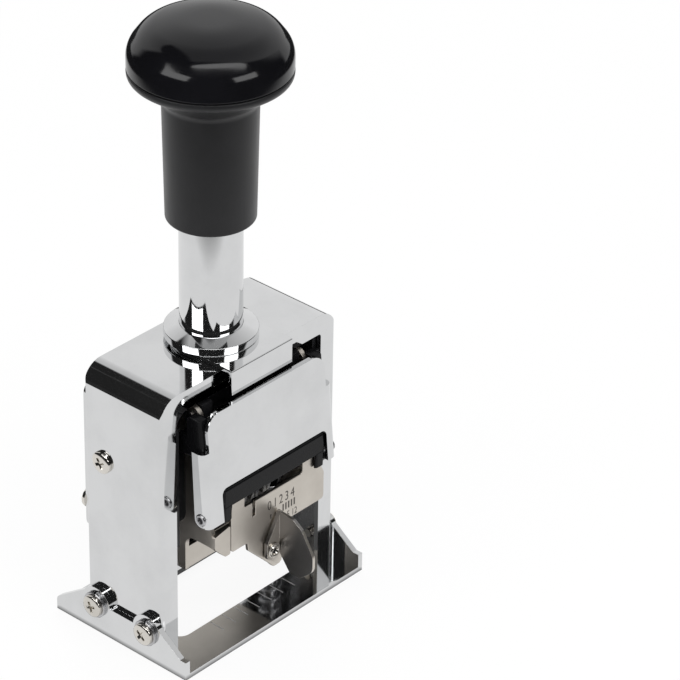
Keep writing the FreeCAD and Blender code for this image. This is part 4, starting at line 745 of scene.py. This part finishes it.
def make_turned():
    """The knob, the handle, the tube and the collar, as smooth turned pieces."""
    (_, wide), _, (low, top) = span("knob_cap")
    tall = top - low
    knob = lathe("knob_dome", [
        (0.0, low), (wide, low, 0.3), (wide, low + tall * 0.40, wide * 0.34),
        (wide * 0.79, low + tall * 0.85, wide * 0.42), (wide * 0.40, top, wide * 1.5), (0.0, top),
    ], BLACK_GLOSS, segments=160, steps=12, sharp=50.0, closed=False)
    hand_over(knob, "plunger", "gloss_black", "knob_cap")

    _, _, (foot, seam_top) = span("handle_sleeve")
    _, _, (_, tube_top) = span("plunger_tube")
    tube_out = (TUBE_HIGH[0] - TUBE_LOW[0]) / 2 / MM
    tube_in = tube_out - 1.5
    bore = tube_out + 0.05
    seam = seam_top - 0.3
    flare = seam - tube_top
    inner = wide - 3.0
    sleeve = lathe("handle_grip", [
        (bore, foot), (10.3, foot, 0.6), (10.9, tube_top, 2.7),
        (wide * 0.78, seam - flare * 0.62, wide * 0.4), (wide, seam - flare * 0.22, wide * 0.1),
        (wide, seam, 0.3), (inner, seam), (inner, seam_top), (inner - 4.0, seam_top), (bore, seam_top),
    ], BLACK_SATIN, segments=160, steps=10, sharp=40.0)
    hand_over(sleeve, "plunger", "satin_black", "handle_sleeve")

    _, _, (tube_low, _) = span("plunger_tube")
    tube = lathe("polished_tube", [
        (tube_in, tube_low, 0.2), (tube_out, tube_low, 0.2), (tube_out, tube_top, 0.2),
        (tube_in, tube_top, 0.2),
    ], CHROME, segments=128)
    hand_over(tube, "plunger", "plated_steel", "plunger_tube")

    (_, rim), _, (spigot_low, collar_top) = span("plunger_collar")
    seat = span("top_lip_plate")[2][1]
    spigot = bore + 1.5
    collar = lathe("collar_ring", [
        (bore, spigot_low), (spigot, spigot_low, 0.2), (spigot, seat), (rim, seat, 0.2),
        (rim, seat + 1.9, 0.3), (bore + 0.45, collar_top, 1.2), (bore, collar_top),
    ], CHROME, segments=128, steps=8, sharp=50.0)
    hand_over(collar, "frame", "plated_steel", "plunger_collar")


make_turned()


# Screws, washers and springs.

QUARTER_TURN = math.pi / 2
SHANK_RADIUS = 1.25
THREAD_PITCH = 0.5
WASHER_SHEET = 0.8

# Y and Z of the screws in the ears and in the walls.
EAR_SPOTS = ((8.1, 7.6), (-8.2, 7.6))
WALL_SPOT = (6.3, 47.0)

# How far the shanks go past the rails' inner faces, and how long the rear ones are.
EAR_TIP, WALL_TIP, REAR_SHANK = 2.2, 1.5, 2.4


def screw_master(name, head_radius, head_height, shank_length):
    """A pan-head screw whose head points along +X from its seat at the origin, with a cross recess."""
    made = bmesh.new()
    segments = 40
    profile = [(0.0, head_height)]
    for step in range(1, 7):
        angle = math.pi / 2 * (1 - step / 7)
        profile.append((head_radius * (0.30 + 0.70 * math.cos(angle)),
                        head_height * (0.52 + 0.48 * math.sin(angle))))
    profile += [(head_radius, head_height * 0.45), (head_radius, 0.12), (head_radius - 0.12, 0.0),
                (SHANK_RADIUS, 0.0)]
    for turn in range(int(shank_length / THREAD_PITCH)):
        profile += [(SHANK_RADIUS, -turn * THREAD_PITCH),
                    (SHANK_RADIUS * 0.84, -(turn + 0.5) * THREAD_PITCH)]
    profile += [(SHANK_RADIUS * 0.8, -shank_length), (0.0, -shank_length)]
    rings = []
    for radius, height in profile:
        ring = []
        for number in range(1 if radius < 1e-6 else segments):
            angle = 2 * math.pi * number / segments
            spot = Vector((radius * math.cos(angle), radius * math.sin(angle), height))
            ring.append(made.verts.new(spot * MM))
        rings.append(ring)
    skin(made, zip(rings, rings[1:]))
    body = from_bmesh(name, made, NICKEL_BRIGHT_AND_RIM_HIGHLIGHT, 40.0)
    cross = bmesh.new()
    depth = head_height * 0.55
    for arm, width in ((head_radius * 0.62, head_radius * 0.16), (head_radius * 0.16, head_radius * 0.62)):
        tip = 0.55
        top = [(-arm, -width), (arm, -width), (arm, width), (-arm, width)]
        upper = [cross.verts.new((x * MM, y * MM, (head_height + 0.3) * MM)) for x, y in top]
        lower = [cross.verts.new((x * tip * MM, y * tip * MM, (head_height - depth) * MM)) for x, y in top]
        cross.faces.new(upper)
        cross.faces.new(lower[::-1])
        for number in range(4):
            after = (number + 1) % 4
            cross.faces.new((upper[number], lower[number], lower[after], upper[after]))
    cutter = from_bmesh(name + "_recess", cross, NICKEL_BRIGHT_AND_RIM_HIGHLIGHT)
    boolean = body.modifiers.new("recess", "BOOLEAN")
    boolean.operation = "DIFFERENCE"
    boolean.solver = "EXACT"
    boolean.use_self = True
    boolean.object = cutter
    settle(body)
    body.data.shade_smooth()
    body.data.set_sharp_from_angle(angle=math.radians(38.0))
    bpy.data.objects.remove(cutter)
    body.data.transform(Matrix.Rotation(QUARTER_TURN, 4, "Y"))
    return body


def make_fasteners():
    """Pan-head screws at the base, the walls and the back, and the split washers."""
    base_out = span("base_plate")[0][1]
    seat = base_out + WASHER_SHEET
    head = span("base_screws")[0][1] - seat
    wide = (span("wall_screws")[1][1] - span("wall_screws")[1][0]) / 2
    wall_out = span("casing")[0][1]
    rail_in = span("side_rail_right")[0][0]
    twist = (0.35, 0.9, 0.15, 0.6)
    places = []
    for number, (side, (back, high)) in enumerate((side, ear) for side in (-1, 1) for ear in EAR_SPOTS):
        places.append((at(side * seat, back, high), (twist[number], 0.0, QUARTER_TURN * (1 - side))))
    reach = seat - (rail_in - EAR_TIP)
    screws = repeat("base_pan_screws", screw_master("base_screw_form", wide, head, reach), places,
                    NICKEL_BRIGHT_AND_RIM_HIGHLIGHT)
    hand_over(screws, "frame", "plated_steel", "base_screws")

    places = [(at(side * wall_out, *WALL_SPOT), (0.5, 0.0, QUARTER_TURN * (1 - side))) for side in (-1, 1)]
    reach = wall_out - (rail_in - WALL_TIP)
    screws = repeat("wall_pan_screws", screw_master("wall_screw_form", wide, head, reach), places,
                    NICKEL_BRIGHT_AND_RIM_HIGHLIGHT)
    hand_over(screws, "frame", "plated_steel", "wall_screws")

    back = span("rear_cover")[1][1]
    spots = span("rear_screws")
    side_x = spots[0][1] - wide
    high = (spots[2][0] + spots[2][1]) / 2
    places = [(at(side * side_x, back, high), (0.4, 0.0, QUARTER_TURN)) for side in (-1, 1)]
    screws = repeat("back_pan_screws", screw_master("back_screw_form", wide, head, REAR_SHANK),
                    places, NICKEL_BRIGHT_AND_RIM_HIGHLIGHT)
    hand_over(screws, "frame", "plated_steel", "rear_screws")

    washers = [split_washer("washer_part", side, base_out, *ear) for side in (-1, 1) for ear in EAR_SPOTS]
    ring = joined("split_washers", washers, STEEL)
    ring.data.shade_smooth()
    ring.data.set_sharp_from_angle(angle=math.radians(35.0))
    hand_over(ring, "frame", "plated_steel", "base_spring_washers")


def split_washer(name, side, seat, place_y, place_z, inner=1.35, outer=3.25):
    """A spring washer with a slanted split and eased edges."""
    made = bmesh.new()
    thick = WASHER_SHEET
    steps = 44
    gap = 0.14
    ease = 0.12
    section = [(inner, 0.0), (outer - ease, 0.0), (outer, ease), (outer, thick - ease),
               (outer - ease, thick), (inner, thick)]
    rings = []
    for step in range(steps + 1):
        angle = math.pi / 2 + gap / 2 + (2 * math.pi - gap) * step / steps
        ring = []
        for radius, along in section:
            slant = (along / thick - 0.5) * 0.16
            ring.append(made.verts.new(at(side * (seat + along), place_y + radius * math.cos(angle + slant),
                                          place_z + radius * math.sin(angle + slant))))
        rings.append(ring)
    skin(made, zip(rings, rings[1:]))
    made.faces.new(rings[0])
    made.faces.new(rings[-1][::-1])
    return from_bmesh(name, made, STEEL)


def make_springs():
    """Two wound return springs, each one wire with closed ends, round the guide rods."""
    (_, outer_x), (low_y, high_y), (low_z, high_z) = span("return_springs")
    rod_y = (low_y + high_y) / 2
    wire_radius = 0.45
    coil = (high_y - low_y) / 2 - wire_radius
    rod_x = outer_x - coil - wire_radius
    sizes = {"Turns": 17.0, "Coil Radius": coil * MM, "Height": (high_z - low_z - wire_radius * 2) * MM,
             "Wire Radius": wire_radius * MM}
    tree, given, leave = new_rule("return_spring_rule", dict.fromkeys(sizes, "Float"), "Spring")
    spiral = wire(tree, "GeometryNodeCurveSpiral", {
        "Resolution": 26, "Rotations": given["Turns"], "Start Radius": given["Coil Radius"],
        "End Radius": given["Coil Radius"], "Height": given["Height"]})
    circle = wire(tree, "GeometryNodeCurvePrimitiveCircle",
                  {"Resolution": 10, "Radius": given["Wire Radius"]})
    swept = wire(tree, "GeometryNodeCurveToMesh", {
        "Curve": spiral.outputs["Curve"], "Profile Curve": circle.outputs["Curve"], "Fill Caps": True})
    smooth = wire(tree, "GeometryNodeSetShadeSmooth", {"Geometry": swept.outputs["Mesh"]})
    end_rule(tree, smooth.outputs["Geometry"], STEEL, leave)
    coils = []
    for side in (-1, 1):
        thing = run_rule("spring_coil", bpy.data.meshes.new("spring_coil"), tree, sizes)
        thing.data.transform(Matrix.Translation(at(side * rod_x, rod_y, low_z + wire_radius)))
        coils.append(thing)
    springs = joined("wound_springs", coils, STEEL)
    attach(springs, "frame")
    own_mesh(springs)
    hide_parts("return_springs")


make_fasteners()
make_springs()


# The digit wheels.

WHEELS = 6
DIGITS = 10
BORE_RADIUS = 2.05
CORE_RADIUS = 8.3
FACE_RADIUS = 9.2
RATCHET_WIDTH = 1.0
TOOTH_DEPTH = 0.9
BLOCK_WIDTH = 2.4
BLOCK_HALF = 1.8
BLOCK_TAPER = 0.12
NUMERAL_LIFT = 0.13
NUMERALS = [text_mesh("numeral_%d" % digit, str(digit), 3.0, 0.34, 0.8) for digit in range(DIGITS)]


def make_wheel(number):
    """A wheel with ten raised numerals on their blocks, and its ratchet."""
    node = "digit_wheel_%d" % number
    (low, high), _, _ = span(node)
    band = high - RATCHET_WIDTH
    made = bmesh.new()
    step = 2 * math.pi / DIGITS
    disc = lathe("disc", [(BORE_RADIUS, low, 0.15), (CORE_RADIUS, low, 0.15), (CORE_RADIUS, band, 0.1),
                          (BORE_RADIUS, band)], TYPE_METAL, centre=(0.0, AXLE_Z), axis="X", segments=80)
    for turn in range(DIGITS):
        angle = step * turn
        out = Vector((0, math.sin(angle), math.cos(angle)))
        along = Vector((0, math.cos(angle), -math.sin(angle)))
        middle = Vector((0, 0, AXLE_Z))
        block_x = low + (band - low - BLOCK_WIDTH) / 2
        rows = []
        for taper, half, radius in ((0.0, BLOCK_HALF, CORE_RADIUS - 0.4),
                                    (BLOCK_TAPER, BLOCK_HALF - 0.2, FACE_RADIUS)):
            left, right = block_x + taper, block_x + BLOCK_WIDTH - taper
            row = []
            for x, across in ((left, -half), (right, -half), (right, half), (left, half)):
                spot = middle + out * radius + along * across
                row.append(made.verts.new(at(x, spot.y, spot.z)))
            rows.append(row)
        skin(made, [rows])
        made.faces.new(rows[1])
        made.faces.new(rows[0][::-1])
        spot = at(block_x + BLOCK_WIDTH / 2, *(middle + out * (FACE_RADIUS + NUMERAL_LIFT)).yz)
        place = Matrix(((-1, 0, 0, spot.x), (0, along.y, out.y, spot.y), (0, along.z, out.z, spot.z),
                        (0, 0, 0, 1)))
        copy = NUMERALS[turn].copy()
        copy.transform(place)
        made.from_mesh(copy)
        bpy.data.meshes.remove(copy)
    teeth = []
    hub = []
    for turn in range(DIGITS):
        for radius, share in ((CORE_RADIUS, 0.0), (CORE_RADIUS - TOOTH_DEPTH, 0.88)):
            angle = step * (turn + share)
            teeth.append((radius * math.sin(angle), AXLE_Z + radius * math.cos(angle)))
        for angle in (step * turn, step * (turn + 0.5)):
            hub.append((BORE_RADIUS * math.sin(angle), AXLE_Z + BORE_RADIUS * math.cos(angle)))
    sides = []
    for x in (band, high):
        outer = [made.verts.new(at(x, y, z)) for y, z in teeth]
        inner = [made.verts.new(at(x, y, z)) for y, z in hub]
        sides.append((outer, inner))
    (near_teeth, near_hub), (far_teeth, far_hub) = sides
    skin(made, ((near_teeth, far_teeth), (far_teeth, far_hub), (far_hub, near_hub),
                (near_hub, near_teeth)))
    blocks = from_bmesh("blocks", made, TYPE_METAL, 30.0)
    wheel = joined("type_wheel_%d" % number, [disc, blocks], TYPE_METAL)
    wheel.data.shade_smooth()
    wheel.data.set_sharp_from_angle(angle=math.radians(30.0))
    hand_over(wheel, node, "wheel_steel", node)


for count in range(1, WHEELS + 1):
    make_wheel(count)


# Small turned fittings on the swinging arm, and the felt.

def make_arm_fittings():
    """The cover's hollow rivets and the lever's pivot, with dark discs in their centres as painted shade.
    """
    _, (low_y, high_y), (low_z, high_z) = span("cover_rivets")
    place_y, place_z = (low_y + high_y) / 2, (low_z + high_z) / 2
    outer = span("cover_rivets")[0][1]
    cover = span("front_cover")[0][1]
    wing = span("pad_carrier")[0][1]
    rivets = []
    for side in (-1, 1):
        hull = [(0.0, wing), (1.0, wing), (1.0, cover), (1.5, cover), (1.5, cover + 0.15, 0.1),
                (1.25, outer, 0.08), (0.85, outer, 0.06), (0.75, cover + 0.02), (0.0, cover + 0.02)]
        # A dark disc in the rivet's shallow dish: painted shade where the hollow is.
        shade_disc = [(0.0, cover + 0.03), (0.8, cover + 0.03), (0.8, cover + 0.06), (0.0, cover + 0.06)]
        for name, profile, material in (("rivet_part", hull, STEEL), ("rivet_eye", shade_disc, BLACKENED_AND_SHADE)):
            profile = [(radius, side * along, *rounding) for radius, along, *rounding in profile]
            rivets.append(lathe(name, profile, material, centre=(place_y, place_z), axis="X", segments=40,
                                closed=False))
    hand_over(joined("cover_hollow_rivets", rivets), "pad_arm", "bare_steel", "cover_rivets")

    (low_x, high_x), (front, back), (low_z, high_z) = span("lever_screw")
    centre = ((low_x + high_x) / 2, (low_z + high_z) / 2)
    radius = (high_x - low_x) / 2
    pivot = lathe("lever_pivot", [
        (0.0, back), (1.1, back), (1.1, front + 0.7), (radius, front + 0.7), (radius, front + 0.35, 0.1),
        (radius - 0.35, front + 0.3), (radius - 0.5, front, 0.1), (0.95, front, 0.1), (0.7, front + 0.5),
        (0.0, front + 0.5),
    ], NICKEL_BRIGHT_AND_RIM_HIGHLIGHT, centre=centre, axis="Y", segments=48, closed=False)
    # A dark disc in the pivot's hollow: painted shade.
    shade_disc = lathe("pivot_eye", [(0.0, front + 0.44), (0.72, front + 0.44), (0.72, front + 0.49),
                              (0.0, front + 0.49)],
                BLACKENED_AND_SHADE, centre=centre, axis="Y", segments=32, closed=False)
    hand_over(joined("lever_pivot_screw", [pivot, shade_disc]), "pad_arm", "satin_nickel", "lever_screw")


def make_pad():
    """A felt block with soft edges and an uneven nap."""
    (x0, x1), (y0, y1), (z0, z1) = span("ink_pad")
    made = bmesh.new()
    block(made, (x0, x1), (y0, y1), (z0, z1))
    bmesh.ops.recalc_face_normals(made, faces=made.faces)
    bmesh.ops.bevel(made, geom=list(made.edges), offset=0.35 * MM, segments=3, affect="EDGES", profile=0.6)
    bmesh.ops.subdivide_edges(made, edges=[edge for edge in made.edges if edge.calc_length() > 3 * MM],
                              cuts=18, use_grid_fill=True)
    nap = np.random.default_rng(7)
    top = z1 * MM
    for vert in made.verts:
        if vert.co.z > top - 0.05 * MM:
            vert.co.z -= nap.uniform(0.0, 0.10) * MM
    felt = from_bmesh("felt_pad", made, FELT, 60.0)
    hand_over(felt, "pad_arm", "ink_felt", "ink_pad")


make_arm_fittings()
make_pad()


# Engraved and stamped marks.

MARK_LIFT = 0.012


# Words, X, Z and height of the dial's numbers.
DIAL_NUMBERS = (("0", 0.55, 31.6, 2.5), ("1", 2.51, 31.6, 2.5), ("2", 4.47, 31.6, 2.5),
                ("3", 6.43, 31.6, 2.5), ("4", 8.4, 31.6, 2.5), ("5", 6.97, 26.2, 1.8),
                ("12", 9.05, 26.1, 1.8))

# X and the two ends of the dial's lines, and half their width.
DIAL_LINES = ((1.0, 27.9, 29.1), (2.6, 27.9, 29.1), (5.2, 28.0, 29.9), (6.15, 28.0, 29.9),
              (7.1, 28.0, 29.9), (8.05, 28.0, 29.9), (9.0, 28.0, 29.9))
DIAL_LINE_HALF = 0.23


def make_dial_marks():
    """The plain numbers and division lines of the dial."""
    front = span("dial_plate")[1][0]
    parts = []
    for words, x, z, height in DIAL_NUMBERS:
        mesh = text_mesh("number", words, height, 0.02, 0.78)
        mesh.transform(Matrix.Rotation(QUARTER_TURN, 4, "X"))
        mesh.transform(Matrix.Translation(at(x, front - MARK_LIFT / 2, z)))
        parts.append(to_object("number", mesh, DIAL_MARK))
    made = bmesh.new()
    for x, low, high in DIAL_LINES:
        block(made, (x - DIAL_LINE_HALF, x + DIAL_LINE_HALF), (front - MARK_LIFT, front), (low, high))
    parts.append(from_bmesh("divisions", made, DIAL_MARK))
    hand_over(joined("dial_markings", parts, DIAL_MARK), "pad_arm", "satin_nickel")


def make_base_marks():
    """The engraved lines on the front rail of the base, one more than there are wheels."""
    sheet_top, first_x, pitch, half = 1.4, -11.3, 4.07, 0.12
    made = bmesh.new()
    for number in range(WHEELS + 1):
        x = first_x + pitch * number
        block(made, (x - half, x + half), (-14.6, -10.2), (sheet_top, sheet_top + MARK_LIFT))
    marks = from_bmesh("rail_engraving", made, BASE_MARK)
    hand_over(marks, "frame", "plated_steel")


make_dial_marks()
make_base_marks()


# Nodes that keep their own shape.

KEPT_NODES = ("collar_nut", "guide_rods", "rod_feet", "yoke_rivets", "wheel_axle", "axle_clips",
              "axle_spacers", "pivot_pins", "feed_pawls", "cam_followers", "knob_stud")
for node in KEPT_NODES:
    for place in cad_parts[node].material_slots:
        place.material = STEEL

for mesh in NUMERALS:
    bpy.data.meshes.remove(mesh)
